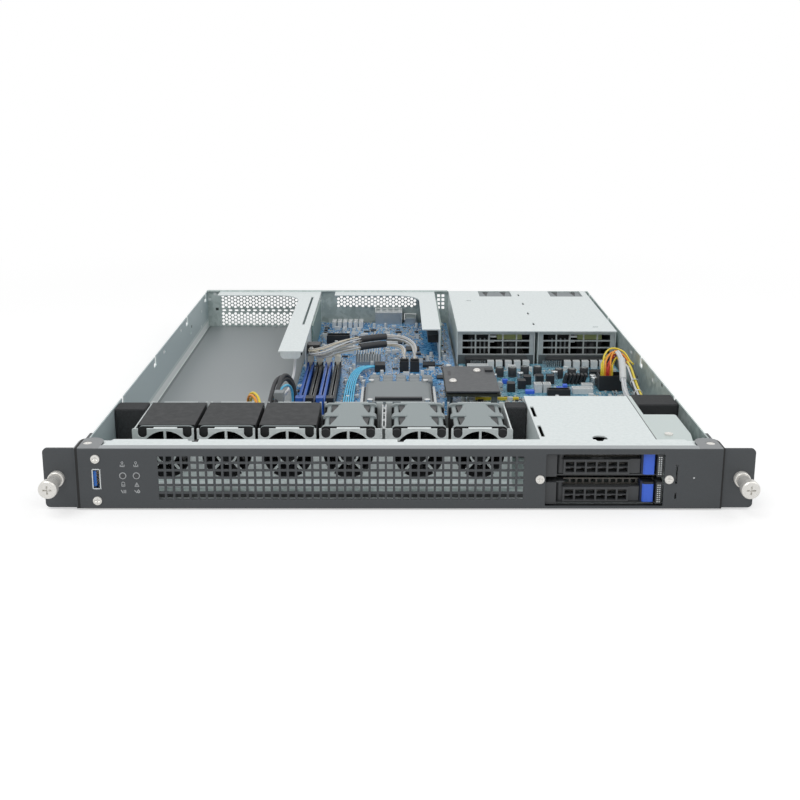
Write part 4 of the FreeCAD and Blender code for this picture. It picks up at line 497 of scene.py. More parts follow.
def supply_colours(low, high):
    """Plated case, painted shade inside it behind a grey lower face, a green board's edge, dark plugs at the
    rear, and a yellow-green transformer top behind the upper right cells."""
    x = (low[0] + high[0]) / 2
    half = (high[0] - low[0]) / 2
    front, case = low[1] + 6.0, high[1] - 14.0
    hollow = {"X": (x - half + 1.05, x + half - 1.05), "Y": (front + 1.1, case - 1.05), "Z": (2.45, 39.95)}
    transformer = {"X": (x + 1.9, x + 26.1), "Y": (front + 8.9, front + 44), "Z": (31.0, 39.9)}
    return finish("supply_case_mix", "#cdd3d3", "#bec5c5", 2.5, metallic=0.5, rough=0.38, spread=0.05,
                  # painted shade inside the case, seen through the grille
                  patches=[(hollow, "#17181a", 0.0, 0.6), (transformer, "#c4cf8d", 0.0, 0.5),
                           ({"Y": (front - 0.1, front + 1.05), "Z": (1, 17.6)}, "#5d6466", 0.3, 0.5),
                           ({"Z": (9.3, 11.2), "Y": (low[1] - 1, front - 0.2)}, "#2a6a3f", 0.0, 0.4),
                           ({"Y": (case + 0.05, high[1] + 1)}, "#2b2d30", 0.0, 0.5)])


def dress_frame():
    """The CAD nodes that keep their own shape take their finish here."""
    plain = {
        GALVANISED: ["chassis_pan"],
        REAR_SHEET: ["rear_panel"],
        NOTCHED: ["front_crossmember"],
        ZINC: ["fan_bracket", "psu_cage", "riser_cage_left", "riser_cage_right"],
        bay_colours(): ["drive_cage"],
        PANEL_COAT: ["front_panel"],
        EAR_COAT: ["rack_ear_left", "rack_ear_right"],
        NICKEL: ["thumbscrew_left", "thumbscrew_right"],
        LEVER_ABS: ["power_button", "id_button", "tray_lever_lower", "tray_lever_upper"],
        SLED_ABS: ["drive_tray_lower", "drive_tray_upper"],
        BLUE_ABS: ["tray_latch_lower", "tray_latch_upper", "psu_release_left", "psu_release_right"],
        FAN_GREY: [f"fan_housing_{k}" for k in range(1, 7)],
        FAN_BLACK_AND_SHADE: [f"fan_{end}_rotor_{k}" for end in ("front", "rear") for k in range(1, 7)],
        FILM: ["insulation_films"],
        FOAM: ["foam_and_rubber"],
        BOARD_BLUE: ["motherboard"],
        BOARD_TEAL: ["power_board", "drive_backplane"],
        CREAM: [f"dimm_latch_{k}" for k in range(1, 5)],
        CARD: ["mezzanine_card"],
        socket_colours(): ["dimm_sockets"],
        processor_colours(): ["cpu_socket"],
        riser_colours(): ["riser_cards"],
        front_board_colours(): ["front_io_board"],
        supply_colours(*SUPPLIES[0]): ["psu_left"],
        supply_colours(*SUPPLIES[1]): ["psu_right"],
    }
    for material, names in plain.items():
        for name in names:
            mesh = NODES[name].data
            if not mesh.materials:
                mesh.materials.append(material)
            for k in range(len(mesh.materials)):
                mesh.materials[k] = material


# ---- front panel details
INK_FACE, INK_BACK = FRONT - 0.03, FRONT + 0.02


def bar(x0, z0, x1, z1, width):
    """A straight stroke between two points of the panel's face, as a thin box turned to its direction."""
    a, b = np.array([x0, z0]), np.array([x1, z1])
    along = (b - a) / np.linalg.norm(b - a) * width / 2
    across = np.array([-along[1], along[0]])
    return prism([a - along - across, b + along - across, b + along + across, a - along + across],
                 INK_FACE, INK_BACK, "front")


def ring(x, z, radius, width):
    """A printed ring: a square profile carried round a circle."""
    inner, outer = radius - width / 2, radius + width / 2
    profile = [(inner, INK_FACE), (outer, INK_FACE), (outer, INK_BACK), (inner, INK_BACK)]
    return turned([(x, 0, z)], profile, "y", 32, closed=True)


def sign(x, z, rings=(), strokes=()):
    """Rings (x, z, radius, width) and strokes (x0, z0, x1, z1, width), measured from a sign's middle."""
    return ([ring(x + a, z + b, radius, width) for a, b, radius, width in rings]
            + [bar(x + x0, z + z0, x + x1, z + z1, width) for x0, z0, x1, z1, width in strokes])


def front_icons():
    """Printed signs: a ring and a link mark at each button, then drive, alert, activity and fan marks."""
    left, _, z = middle("power_button")
    right = middle("id_button")[0]
    shapes = []
    for x in (left, right):
        shapes += sign(x, z, [(0, 0, 2.1, 0.6)])
        shapes += sign(x, z + 7.4, [(0, 2.0, 0.7, 0.35)],
                       [(-1.4, -0.7, 1.4, -0.7, 0.6), (0, 1.2, 0, -0.5, 0.35),
                        (-1.3, -0.7, -1.3, 0.3, 0.5), (1.3, -0.7, 1.3, 0.3, 0.5)])
    shapes += sign(left, z - 6.5, [(0, 0.9, 1.1, 0.4)],
                   [(-1.1, 0.8, -1.1, -1.1, 0.4), (1.1, 0.8, 1.1, -1.1, 0.4), (-1.1, -1.1, 1.1, -1.1, 0.4)])
    shapes += sign(right, z - 6.5, (), [(-1.4, -1.2, 0, 1.6, 0.4), (0, 1.6, 1.4, -1.2, 0.4),
                                        (-1.4, -1.2, 1.4, -1.2, 0.4), (0, 0.5, 0, -0.5, 0.4)])
    shapes += sign(left, z - 11.4, (), [(-1.5, 1.0, -0.6, -0.9, 0.5), (0.3, -0.9, 0.3, 0.9, 0.5),
                                        (1.4, -0.9, 1.4, 0.9, 0.5)])
    shapes += sign(right, z - 11.4, [(0.9, 0, 0.8, 0.6)],
                   [(-1.6, 0.7, -0.4, -0.7, 0.5), (0.9, 1.4, 0.9, 0.4, 0.5)])
    piece("front_icons", shapes, INK)


def screws():
    """Pan heads with cross recesses and their shanks, on the panel, its two tabs, both walls and the cage,
    and a grooved ferrule behind each knob."""
    ears = span("rack_ear_left")
    tray = span("drive_tray_lower")
    socket_x, socket_z = span("front_io_board")[0][0] + 7.5, 21.4
    bay = span("drive_tray_upper")[0][2] - 1.0
    fronts = [(socket_x, FRONT, socket_z + 14.6), (socket_x, FRONT, socket_z - 15.4),
              (tray[0][0] - 4.2, FRONT, bay), (tray[1][0] + 3.6, FRONT, bay)]
    tabs = [(s * (PANEL_HIGH[0] - 7.0), FRONT + 11.0, TOP - 1.4) for s in (-1, 1)]
    shapes = [crossed_head(fronts, 3.0, 1.3, "y", -1, slot=0.55),
              turned(fronts, [(1.5, 0.1), (1.5, 5.2), (1.2, 5.6)], "y", 20),
              crossed_head(tabs, 2.95, 1.35, "z", 1, dome=0.12),
              turned(tabs, [(1.2, -4.0), (1.5, -3.7), (1.5, 0.0)], "z", 20)]
    places = [(ears[1][1] - 20, 11.75), (ears[1][1] - 20, 31.75), (ears[1][1] - 8, 21.75)]
    ferrule = [(2.2, -4.2), (4.9, -4.2), (5.4, -3.8), (5.4, -3.0), (4.9, -2.7), (5.4, -2.4), (5.4, 0.0),
               (2.2, 0.0)]
    for s, side in ((-1, "left"), (1, "right")):
        x, _, z = middle(f"thumbscrew_{side}")
        shapes += [crossed_head([(s * (WALL + 2.0), y, z) for y, z in places], 3.0, 1.3, "x", s),
                   turned([(s * WALL, y, z) for y, z in places], [(1.5, -2.0), (1.5, 2.1)], "x", 20),
                   turned([(x, ears[0][1], z)], ferrule, "y", 40, closed=True)]
    cage = [(span("drive_cage")[1][0] - 16.0, FRONT + 36, 40.9)]
    shapes += [crossed_head(cage, 3.0, 1.3, "z", 1), turned(cage, [(1.5, -4.0), (1.5, 0.05)], "z", 20)]
    piece("screws_and_ferrules", shapes, NICKEL, stands_for=["panel_fasteners"])


def knob_trim():
    """A collar of fine ribs round each knob: r = R + 0.06 cos(40 t)."""
    t = np.linspace(0, 2 * np.pi, 240, endpoint=False)
    r = 6.22 + 0.06 * np.cos(40 * t)
    for side in ("left", "right"):
        knob = f"thumbscrew_{side}"
        x, _, z = middle(knob)
        face = span(knob)[0][1]
        loop = np.stack([x + r * np.cos(t), z + r * np.sin(t)], axis=-1)
        piece(f"knob_ribs_{side}", [prism(loop, face + 1.4, face + 4.6, "front")], NICKEL, knob)


def front_trim():
    """The light pipe in the small hole, the rim of the socket's shell, and the contacts on its tongue."""
    piece("light_pipe", [turned([(200.0, FRONT, 22.45)], [(0.64, 0.1), (0.64, 6.0)], "y", 20)], LENS)
    x = span("front_io_board")[0][0] + 7.35
    depth = (FRONT - 0.05, FRONT + 0.9)
    rim = [(x - 2.7, x + 3.3, *depth, z, z + 0.75) for z in (14.1, 27.95)]
    rim += [(a, a + 0.75, *depth, 14.1, 28.7) for a in (x - 2.75, x + 2.3)]
    piece("usb_shell_rim", [bricks(rim)], TIN, bevel=0.12)
    contacts = [(x, x + 0.16, FRONT + 1.6, FRONT + 8.5, 21.4 + k - 0.45, 21.4 + k + 0.45)
                for k in (-4.2, -2.0, 0.0, 2.0, 4.2)]
    piece("usb_contacts", [bricks(contacts)], GOLD)


# ---- fans and bay
def both_sides(fan, outline, low, high):
    """A flat plate (x, y) on each side of a fan's middle, between two levels above it."""
    return [prism((np.array(outline) * [s, 1] + fan[:2])[::s], fan[2] + low, fan[2] + high) for s in (-1, 1)]


def fan_trim():
    """A folded wire clip between two fans, and tapered webs on top of fans 4 to 6 with painted shade in their
    pockets.
    """
    x = (FANS[3][0] + FANS[4][0]) / 2
    y = FANS[3][1]
    clip = [bricks([(x + a, x + a + 0.8, y - 26, y + 24, 39.6, 42.0) for a in (-1.6, 0.8)]),
            bricks([(x - 1.6, x + 1.6, y + k, y + k + 5, 39.4, 40.2) for k in (-26, -10, 6, 19)])]
    piece("wire_clip", clip, NYLON, bevel=0.2)
    for k, fan in enumerate(FANS[3:], 4):
        webs, pockets = [], []
        for a, b in ((-24.2, -3.8), (4.0, 24.2)):
            webs += both_sides(fan, [(7.0, a), (13.4, a), (8.0, b), (7.0, b)], 19.3, 19.9)
            # thin dark plates: painted shade on the pockets' floor
            pockets += both_sides(fan, [(13.2, a + 1), (14.6, b), (8.4, b)], 18.6, 19.1)
        piece(f"fan_webs_{k}", webs, FAN_TOP)
        piece(f"fan_pocket_shade_{k}", pockets, FAN_BLACK_AND_SHADE)


def foam_and_plugs():
    """Three foam blocks between the fan row and the walls, and the rubber plugs on the bracket's front."""
    blocks = [(-214.7, -191.3, -169.0, -151.0), (81.5, 97.2, -164.0, -149.0),
              (span("drive_tray_lower")[1][0] + 2.3, 214.7, -156.0, -130.0)]
    for k, (x0, x1, y0, y1) in enumerate(blocks, 1):
        foam = piece(f"foam_block_{k}", [prism(rounded(x0, x1, y0, y1, 1.5), 1.1, 41.4)], FOAM, bevel=1.0,
                     stands_for=["foam_and_rubber"] if k == 1 else [])
    front = FANS[0][1] - 30.1
    centres = [(fan[0] + s * 16.1, front, 37.5) for fan in FANS[3:] for s in (-1, 1)]
    plug = [(0.6, 3.9), (1.5, 3.6), (1.9, 2.9), (2.0, 0.4), (3.4, 0.0), (3.85, -0.4), (3.85, -2.1)]
    piece("rubber_plugs", [turned(centres, plug, "y", 24)], RUBBER)


def sled_trim():
    """Pale plates behind the lever's lower windows, and dotted spring contacts on the right strip."""
    for name in ("lower", "upper"):
        body = f"drive_tray_{name}"
        (x0, y, z), (x1, _, _) = span(body)
        dots = [(x1 - k, x1 - k + 0.8, y - 0.1, y + 0.2, a, a + 0.75)
                for a in np.arange(z + 1.4, z + 14.6, 1.5) for k in (3.4, 2.0)]
        piece(f"sled_contacts_{name}", [bricks(dots)], TIN, body)
        plates = [(x0 + 14.0 + 7.3 * k, x0 + 17.6 + 7.3 * k, y + 7.1, y + 8.82, z + 3.2, z + 5.6)
                  for k in range(6)]
        piece(f"sled_plates_{name}", [bricks(plates)], INK, body)


# ---- boards: their areas and the rectangles kept free of small parts, all (x0, x1, y0, y1)
MAIN = (-91.0, 54.0, -134.0, 244.0)
POWER = (60.0, 210.0, -125.0, 73.0)
MAIN_KEEP = [(-33, 33, -87, -15), (-89, -52, -95, 51), (-75, -34, 215, 237), (-28, 24, 230, 262),
             (-44, -14, 67, 101), (0, 22, 42, 58), (-29, 34, -10, 14), (-76, -42, 107, 119),
             (-76, -48, 147, 163), (-14, 7, 147, 169), (6, 24, 118, 136), (-24, -10, 42, 59),
             (22, 38, 58, 74), (34, 48, 18, 32), (-36, -20, -120, -109), (36, 52, -60, -40),
             (36, 52, -14, -1), (27, 44, 110, 208), (-93, -84, 30, 236)]
POWER_KEEP = [(59, 143, 62, 76), (138, 212, 62, 76), (178, 204, -16, 1), (94, 128, -32, -20),
              (130, 168, -34, -21), (98, 132, 0, 13), (148, 184, -2, 16), (153, 175, -28, -15),
              (95, 138, -28, -2), (122, 146, 2, 14), (102, 116, 12, 46), (84, 92, 8, 16),
              (164, 178, -12, -1), (96, 124, -106, -84), (132, 170, -102, -88), (68, 86, 22, 40),
              (64, 88, 44, 56), (178, 194, 28, 40), (90, 180, 20, 40), (82, 212, 54, 63),
              (64, 88, -82, -70), (58, 74, -24, -10)]
KEEP_GAP = 1.5


def scatter(area, pitch, keep, seed, share):
    """Places on a square grid moved by up to 0.3 of its pitch, less those in a kept-free rectangle, and a
    share of the rest; returns their (x, y) and three random numbers each, the same at every run."""
    rng = np.random.default_rng(seed)
    x0, x1, y0, y1 = area
    steps = np.meshgrid(np.arange(x0 + 2, x1 - 2, pitch), np.arange(y0 + 2, y1 - 2, pitch))
    grid = np.stack(steps, axis=-1).reshape(-1, 2)
    grid = grid + rng.uniform(-0.3, 0.3, grid.shape) * pitch
    low, high = np.asarray(keep, float).reshape(-1, 2, 2).transpose(2, 0, 1)
    held = ((grid[:, None] > low - KEEP_GAP) & (grid[:, None] < high + KEEP_GAP)).all(axis=-1).any(axis=1)
    grid = grid[~held & (rng.uniform(size=len(grid)) < share)]
    return grid, rng.uniform(size=(len(grid), 3))


def sized(width, depth, height):
    """Rows (width, depth, height) from numbers and arrays."""
    return np.stack(np.broadcast_arrays(width, depth, height), axis=-1)


def blocks_at(places, sizes):
    """Boxes standing on the board, centred on places, from rows (width, depth, height)."""
    x, y = np.asarray(places, float).T
    w, d, h = np.broadcast_to(np.asarray(sizes, float), (len(x), 3)).T
    rows = [x - w / 2, x + w / 2, y - d / 2, y + d / 2, BOARD_TOP + 0 * x, BOARD_TOP + h]
    return bricks(np.stack(rows, axis=-1))


def chip_parts(name, area, keep, seed):
    """Hundreds of surface-mounted parts: ceramic and black chips with tin ends, and printed marks."""
    places, lot = scatter(area, 3.1, keep, seed, 0.85)
    kind, turn = lot[:, 0], lot[:, 1] > 0.5
    length, width, height = 1.0 + 1.4 * lot[:, 2], 0.7 + 0.8 * lot[:, 2], 0.5 + 0.5 * lot[:, 2]
    size = sized(np.where(turn, length, width), np.where(turn, width, length), height)
    ends = size * np.where(turn[:, None], [1.45, 1.0, 0.8], [1.0, 1.45, 0.8])
    body = size * [0.82, 0.82, 1.15]
    ceramic, black, marks = kind < 0.42, (kind >= 0.42) & (kind < 0.66), kind >= 0.66
    piece(f"{name}_chip_ends", [blocks_at(places[~marks], ends[~marks])], SOLDER)
    piece(f"{name}_ceramics", [blocks_at(places[ceramic], body[ceramic])], CERAMIC)
    piece(f"{name}_resistors", [blocks_at(places[black], body[black])], EPOXY)
    spot, lot = places[marks], lot[marks]
    piece(f"{name}_print", [blocks_at(spot, sized(1.4 + 2.4 * lot[:, 2], 0.35, 0.04)),
                            blocks_at(spot + [0, 0.9], sized(1.0 + 1.2 * lot[:, 1], 0.3, 0.04))], SILK)


def leaded_parts(name, area, keep, seed):
    """Chips with a row of legs on both sides, small round cans and pin headers."""
    places, lot = scatter(area, 11.0, keep, seed, 0.62)
    kind = lot[:, 0]
    chips, cans, plugs = kind < 0.36, places[(kind >= 0.36) & (kind < 0.62)], kind >= 0.62
    side, ratio = 3.0 + 3.5 * lot[chips, 2], np.where(lot[chips, 1] > 0.5, 1.0, 0.62)
    body = sized(side, side * ratio, 1.0 + 0.4 * lot[chips, 1])
    piece(f"{name}_chips", [blocks_at(places[chips], body)], EPOXY, bevel=0.12)
    piece(f"{name}_chip_legs", [blocks_at(places[chips], body * [1.3, 0.8, 0.35])], SOLDER)
    can = [(1.9, 0.0), (1.9, 0.7), (1.75, 0.9), (1.75, 4.6), (1.6, 5.0), (1.2, 5.05)]
    bases = np.column_stack([cans, np.full(len(cans), BOARD_TOP)])
    piece(f"{name}_cans", [turned(bases, can, "z", 14)], SOLDER)
    header = sized(2.6 + 4.0 * lot[plugs, 1], 2.6, 2.4 + 2.4 * lot[plugs, 2])
    piece(f"{name}_headers", [blocks_at(places[plugs], header)], NYLON, bevel=0.15)


def open_boxes(*rows):
    """Connector shells open at the top, each four walls round a lower floor, from rows (x0, x1, y0, y1,
    height, wall, floor)."""
    shells = []
    for x0, x1, y0, y1, height, wall, floor_level in rows:
        z0, z1, z2 = BOARD_TOP, BOARD_TOP + floor_level, BOARD_TOP + height
        left, right, near, far = x0 + wall, x1 - wall, y0 + wall, y1 - wall
        shells.append(bricks([(x0, x1, y0, near, z0, z2), (x0, x1, far, y1, z0, z2),
                              (x0, left, near, far, z0, z2), (right, x1, near, far, z0, z2),
                              (left, right, near, far, z0, z1)]))
    return shells


def connectors():
    """White, blue and black plugs and sockets, five bare cans and two combs of upright contacts."""
    top = BOARD_TOP
    white = open_boxes(*[(-72 + 5.9 * k, -67.6 + 5.9 * k, 218, 234, 7.0, 0.6, 5.6) for k in range(6)],
                       (121.5, 128.3, -22, -14, 8, 0.8, 5), (129.4, 136.2, -22, -14, 8, 0.8, 5),
                       (-74, -44, 110, 117, 8, 0.9, 2.5), (155, 173, -26, -17, 5, 0.9, 3),
                       (104, 111, 37, 43, 8, 0.7, 6), (166, 176, -10, -3, 4, 0.7, 2),
                       (66, 86, 46, 54, 6, 0.8, 2), (134, 168, -100, -90, 9, 0.9, 3),
                       *[(x, x + 6.2, 56, 62, 7.5, 0.6, 5.5)
                         for x in (86, 94, 103, 111.5, 120, 160, 168.5, 177, 185.5, 194)])
    piece("white_connectors", white, NYLON, stands_for=["board_components"], bevel=0.12)
    blue = blocks_at([(144.7, -17), (117, -23), (150, -12), (98, 8)],
                     [(6, 5, 4), (8, 6, 3), (4, 5, 5), (5, 4, 4)])
    piece("blue_board_plugs", [blue], BLUE_ABS, bevel=0.4)
    drums = [(178.7, 2.2, top), (178.7, 9.4, top), (145.5, 22, top), (113, 18, top), (88, 12, top)]
    piece("bare_cans", [turned(drums, [(3.0, 0.0), (3.0, 7.4), (2.6, 7.9), (2.2, 8.0)], "z", 24)], TIN)
    pins = [*np.arange(70.0, 84, 1.9), *np.arange(139.5, 158, 1.9)]
    piece("contact_comb", [bricks([(x, x + 0.8, 60.5, 61.5, top, top + 7.0) for x in pins])], TIN)
    black = open_boxes((180, 202, -16, -2, 14, 1.0, 6), (-74, -50, 150, 161, 9, 1.0, 4),
                       (132, 152, -32, -25, 6, 1.0, 3),
                       *[(x, x + 8.6, 44, 55, 10.6, 0.8, 9.0) for x in (1.5, 11.5)])
    plugs = [(101, -16), (111.5, -7), (129.7, 8.5), (139.4, 8.5), (118, 6)]
    black += [blocks_at(plugs, (7, 8, 8)),
              blocks_at([(-28, -114.5), (-17.2, 50.5), (186, 34)], [(12, 7, 5), (10, 13, 7), (12, 8, 5)])]
    black.append(bricks([(x + 1.2, x + 7.4, 46, 53, top + 9.0, top + 12.4) for x in (1.5, 11.5)]))
    lean = np.array([(0, 0), (2.0, 0), (4.6, 9.0), (2.6, 9.0)])
    black += [prism(lean + [151 + 3.5 * k, top], 4, 12, "front") for k in range(6)]
    piece("black_connectors", black, BLACK_NYLON, bevel=0.2)


def large_parts():
    """The large chips, the finned heat sinks, the chokes, and the capacitors in their sleeves."""
    top = BOARD_TOP
    chips = blocks_at([(-3.5, 158.5), (15, 127), (41, 25), (30, 66), (110, -95)],
                      [(17, 17, 1.6), (14, 14, 2), (10, 10, 1.8), (12, 12, 3), (24, 18, 7)])
    piece("large_chips", [chips], EPOXY, bevel=0.25)
    fins = [(-41, -17, 70, 98, top, top + 3), (70, 84, 24, 38, top, top + 2)]
    fins += [(-41 + 2.55 * k, -40 + 2.55 * k, 70, 98, top + 3, top + 11) for k in range(10)]
    fins += [(70 + 2.0 * k, 70.9 + 2.0 * k, 24, 38, top + 2, top + 7) for k in range(7)]
    piece("finned_heat_sinks", [bricks(fins)], ALUMINIUM, bevel=0.1)
    chokes = [(x + 4.5, y + 4.5) for y in (-8, 3) for x in (-26, -14, -2, 10, 22)]
    piece("chokes", [blocks_at(chokes, (9, 9, 7))], FERRITE, bevel=0.9)
    places = [(95, 30), (107, 30), (119, 34), (131, 34), (150, 26), (162, 26), (174, 30)]
    cans = [(x, y, top) for x, y in places]
    body = [(4.0, 0.0), (4.0, 0.8), (3.7, 1.2), (4.0, 1.7), (4.0, 8.2), (3.6, 8.9), (3.2, 9.0)]
    piece("capacitor_sleeves", [turned(cans, body, "z", 28)], CABLE_BLACK)
    piece("capacitor_tops", [turned(cans, [(3.15, 8.9), (3.15, 9.04), (2.6, 9.08)], "z", 28)], TIN)


def board_hardware():
    """Hexagonal posts between the pan and both boards, each with a screw on top."""
    places = [(x, y) for x in (-88.5, 49.0) for y in (-129.0, -2.0, 66.0, 235.0)]
    places += [(x, y) for x in (65.0, 205.0) for y in (-120.0, 54.0)]
    posts = turned([(x, y, 1.0) for x, y in places], [(2.8, 0.0), (2.8, 6.5)], "z", 6)
    piece("board_posts", [posts], NICKEL)
    piece("board_screws", [crossed_head([(x, y, BOARD_TOP) for x, y in places], 2.9, 1.4, "z", 1)], NICKEL)


def card_trim():
    """Domed nuts, a chip and a short slot on the raised card, and the yellow bus strip below it."""
    z = CARD_TOP
    piece("bus_strip", [bricks([(60.5, 105.0, -44.6, -43.2, BOARD_TOP, BOARD_TOP + 3.0)])], CABLE_YELLOW,
          bevel=0.2)
    dome = [(3.4, 0.0), (3.4, 0.5), (2.9, 1.3), (1.9, 2.0), (0.7, 2.3)]
    piece("card_nuts", [turned([(70, -18, z - 0.05), (47, -50, z - 0.05)], dome, "z", 28)], NICKEL)
    piece("card_chip", [bricks([(77, 84, -21, -14, z - 0.05, z + 1.6)])], EPOXY, bevel=0.3)
    piece("card_slot", [bricks([(43.6, 46.2, -33, -19, z - 0.02, z + 0.05)])], EPOXY)


def memory_trim():
    """A row of contacts along both lips of each memory socket."""
    y = np.arange(-82.0, 38.0, 1.7)
    z = BOARD_TOP + 8.75
    for k, (x, _, _) in enumerate(LATCHES, 1):
        rows = [(x + s - 0.22, x + s + 0.22, a, a + 0.8, z, z + 0.11) for a in y for s in (-1, 1)]
        piece(f"memory_contacts_{k}", [bricks(rows)], TIN)


def socket_trim():
    """The load frame's two side rails and its cross bar, and the lip of the cover, round the processor."""
    top = BOARD_TOP
    rails = [(s * 31.5 - 1.3, s * 31.5 + 1.3, -82, -20, top, top + 5.5) for s in (-1, 1)]
    rails.append((-26, 26, -20.5, -18.6, top + 3.5, top + 8.4))
    piece("load_frame_rails", [bricks(rails)], TIN, bevel=0.3)
    piece("cover_lip", [bricks([(-20, 20, -77.5, -73.6, top + 10.1, top + 12.8)])], EPOXY, bevel=0.4)


# ---- power supplies
def supply_trim():
    """Two dark cans, a folded bracket and cooling fins behind the grille, and a plate with two printed
    arrows on the roof."""
    for side, (low, high) in zip(("left", "right"), SUPPLIES):
        x = (low[0] + high[0]) / 2
        y = low[1] + 7.3
        body = f"psu_{side}"
        cans = [(x + 8.5, y + 3.9, 3.5), (x + 15.5, y + 3.9, 3.5)]
        piece(f"supply_cans_{side}", [turned(cans, [(3.2, 0), (3.2, 26.0), (2.6, 26.8)], "z", 24)],
              CABLE_BLACK, body)
        arm = [(x - 7.5, x + reach, y + 0.4, y + 2.0, z0, z1)
               for reach, z0, z1 in ((-6.0, 20, 36.5), (0.5, 34.6, 36.5), (-1.5, 29.6, 31))]
        piece(f"supply_bracket_{side}", [bricks(arm)], NYLON, body, bevel=0.3)
        fins = [(x - 24 + 4.2 * k, x - 22.6 + 4.2 * k, y + 3.0, y + 5.0, 18, 33) for k in range(4)]
        piece(f"supply_fins_{side}", [bricks(fins)], FERRITE, body, bevel=0.2)
        rear, roof = low[1] + 190.0, 41.0
        plate = bricks([(x - 4.4, x + 31.4, rear - 28, rear - 0.6, roof, roof + 0.08)])
        piece(f"supply_roof_{side}", [plate], FERRITE, body)
        arrows = [prism([(x + k + 1.4, rear - 0.7), (x + k - 5.0, rear - 0.7), (x + k - 1.8, rear - 22)],
                        roof + 0.06, roof + 0.2) for k in (5.4, 25.6)]
        piece(f"supply_arrows_{side}", arrows, EPOXY, body)


# ---- cables: the points of each route, from one end to the other
LOOM = [(-81.6, 41, 32.6), (-81.6, 31, 32.6), (-78.6, 20, 34.6), (-69, 19.5, 36.4), (-60, 36, 36.2),
        (-44, 65, 34.4), (-25, 82, 33.4), (-8, 90.6, 32.4), (6, 84, 31.8), (13, 69, 31.4), (15.8, 57, 30.2),
        (15.8, 49.5, 27), (15.8, 49.5, 21.4)]
LOOM_LOWER = [(-76.6, 41, 30.4), (-76.6, 32, 30.4), (-74, 24.6, 30), (-67, 26, 30), (-59, 42, 29.6),
              (-43, 59, 28.4), (-25, 72, 27.8), (-10, 79.6, 27.2), (1, 73, 27.4), (5.4, 60, 27.6),
              (5.8, 49.5, 26.3), (5.8, 49.5, 21.4)]
SIDE_CABLE = [(-96, 44, 30), (-96, 36, 30), (-95.4, 20, 26), (-94.4, 0, 21), (-94.4, -38, 20), (-96, -62, 21),
              (-100, -92, 24), (-104, -124, 27), (-104, -151, 27)]
FLAT_CABLE = [(-22.2, 52, 13), (-30, 52, 13), (-38, 40, 14.4), (-42.6, 20, 15.2), (-45, -4, 15),
              (-46.4, -30, 14), (-46.8, -58, 13), (-46.8, -82, 10.5)]
FAN_LEAD = [(-109, -151, 33), (-109, -144, 33), (-111, -135, 38.6), (-115.4, -126, 40), (-119.6, -118, 35),
            (-120.8, -113, 24), (-120.8, -113, 9.4)]
FAN_SLEEVE = [(-100.6, -151, 30), (-100.6, -138, 30), (-100.6, -112, 33), (-100, -84, 38.6), (-96, -66, 38),
              (-90.5, -61, 30), (-88.8, -60.6, 20), (-88.8, -60.6, 9.1)]
BLUE_LEAD = [(-99, -120, 34), (-97, -96, 36), (-92.5, -78, 34), (-90, -68, 26), (-90, -66, 14),
             (-90, -66, 9.1)]
TRUNK = [(206, -10, 32.6), (206, -20, 32.6), (205, -38, 28.6), (203, -62, 25.4), (200.6, -88, 25),
         (199.6, -110, 26), (199.6, -130, 26)]
SUPPLY_WIRE = [(188, -8, 20), (188, -8, 29), (189, -2, 37.6), (196, 8, 42.4), (203.4, 5, 40), (206, -3, 34),
               (206, -10, 32.6)]
# the way in which the supply's leads lie side by side at each point of that route
SUPPLY_SPREAD = [(-1, 0, 0), (-1, 0, 0), (-1, 0.2, 0), (-0.5, 1, 0), (0.8, 0.8, 0), (1, 0, 0), (1, 0, 0)]
WHITE_LEADS = [(199, 4, 40), (201, -6, 37), (199, -24, 31), (195.5, -44, 25), (193.5, -64, 22),
               (193, -92, 21), (194, -118, 23), (194, -131, 25)]


def board_cables():
    """The looms of the main board: each is a bundle of single leads lying round one line."""
    plugs = [(-85.6, -73.8, 41, 54, 27.8, 36.6), (-101, -91, 44, 54, 25.6, 34),
             (-125, -116, -118, -107, 1.4, 9.4)]
    piece("loose_plugs", [bricks(plugs)], BLACK_NYLON, stands_for=["cables"], bevel=0.3)
    jackets = [CABLE_CREAM, CABLE_GREY, CABLE_WHITE, CABLE_CREAM, CABLE_WHITE, CABLE_GREY, CABLE_WHITE]
    loose = [1.8, 2.4, 3.0, 3.4, 3.4, 2.8, 1.9, 1.9, 2.2, 2.2, 1.8, 1.5, 1.5]
    leads("loom_lead", strands(LOOM, 7, loose, 0.3), 0.68, jackets)
    loose = [1.2, 1.3, 1.5, 1.7, 1.9, 1.8, 1.5, 1.5, 1.8, 1.8, 1.4, 1.4]
    leads("lower_loom_lead", strands(LOOM_LOWER, 6, loose, 0.35, 0.6), 0.62, jackets)
    wire("side_cable", SIDE_CABLE, 1.25, CABLE_WHITE)
    flat = np.asarray(FLAT_CABLE, float)
    fan_out = np.array([0.9, 1.0, 1.2, 1.5, 1.7, 1.9, 2.0, 2.0])[:, None]
    lines = []
    for k in range(5):
        step = np.array([k, -k, 0.0]) * fan_out + [-0.4, 0.4, 0]
        step[0, 0] = 0.0
        step[4:, 1] *= 0.3
        lines.append(flat + step)
    leads("flat_cable_lead", lines, 0.66, [CABLE_CYAN] * 5)


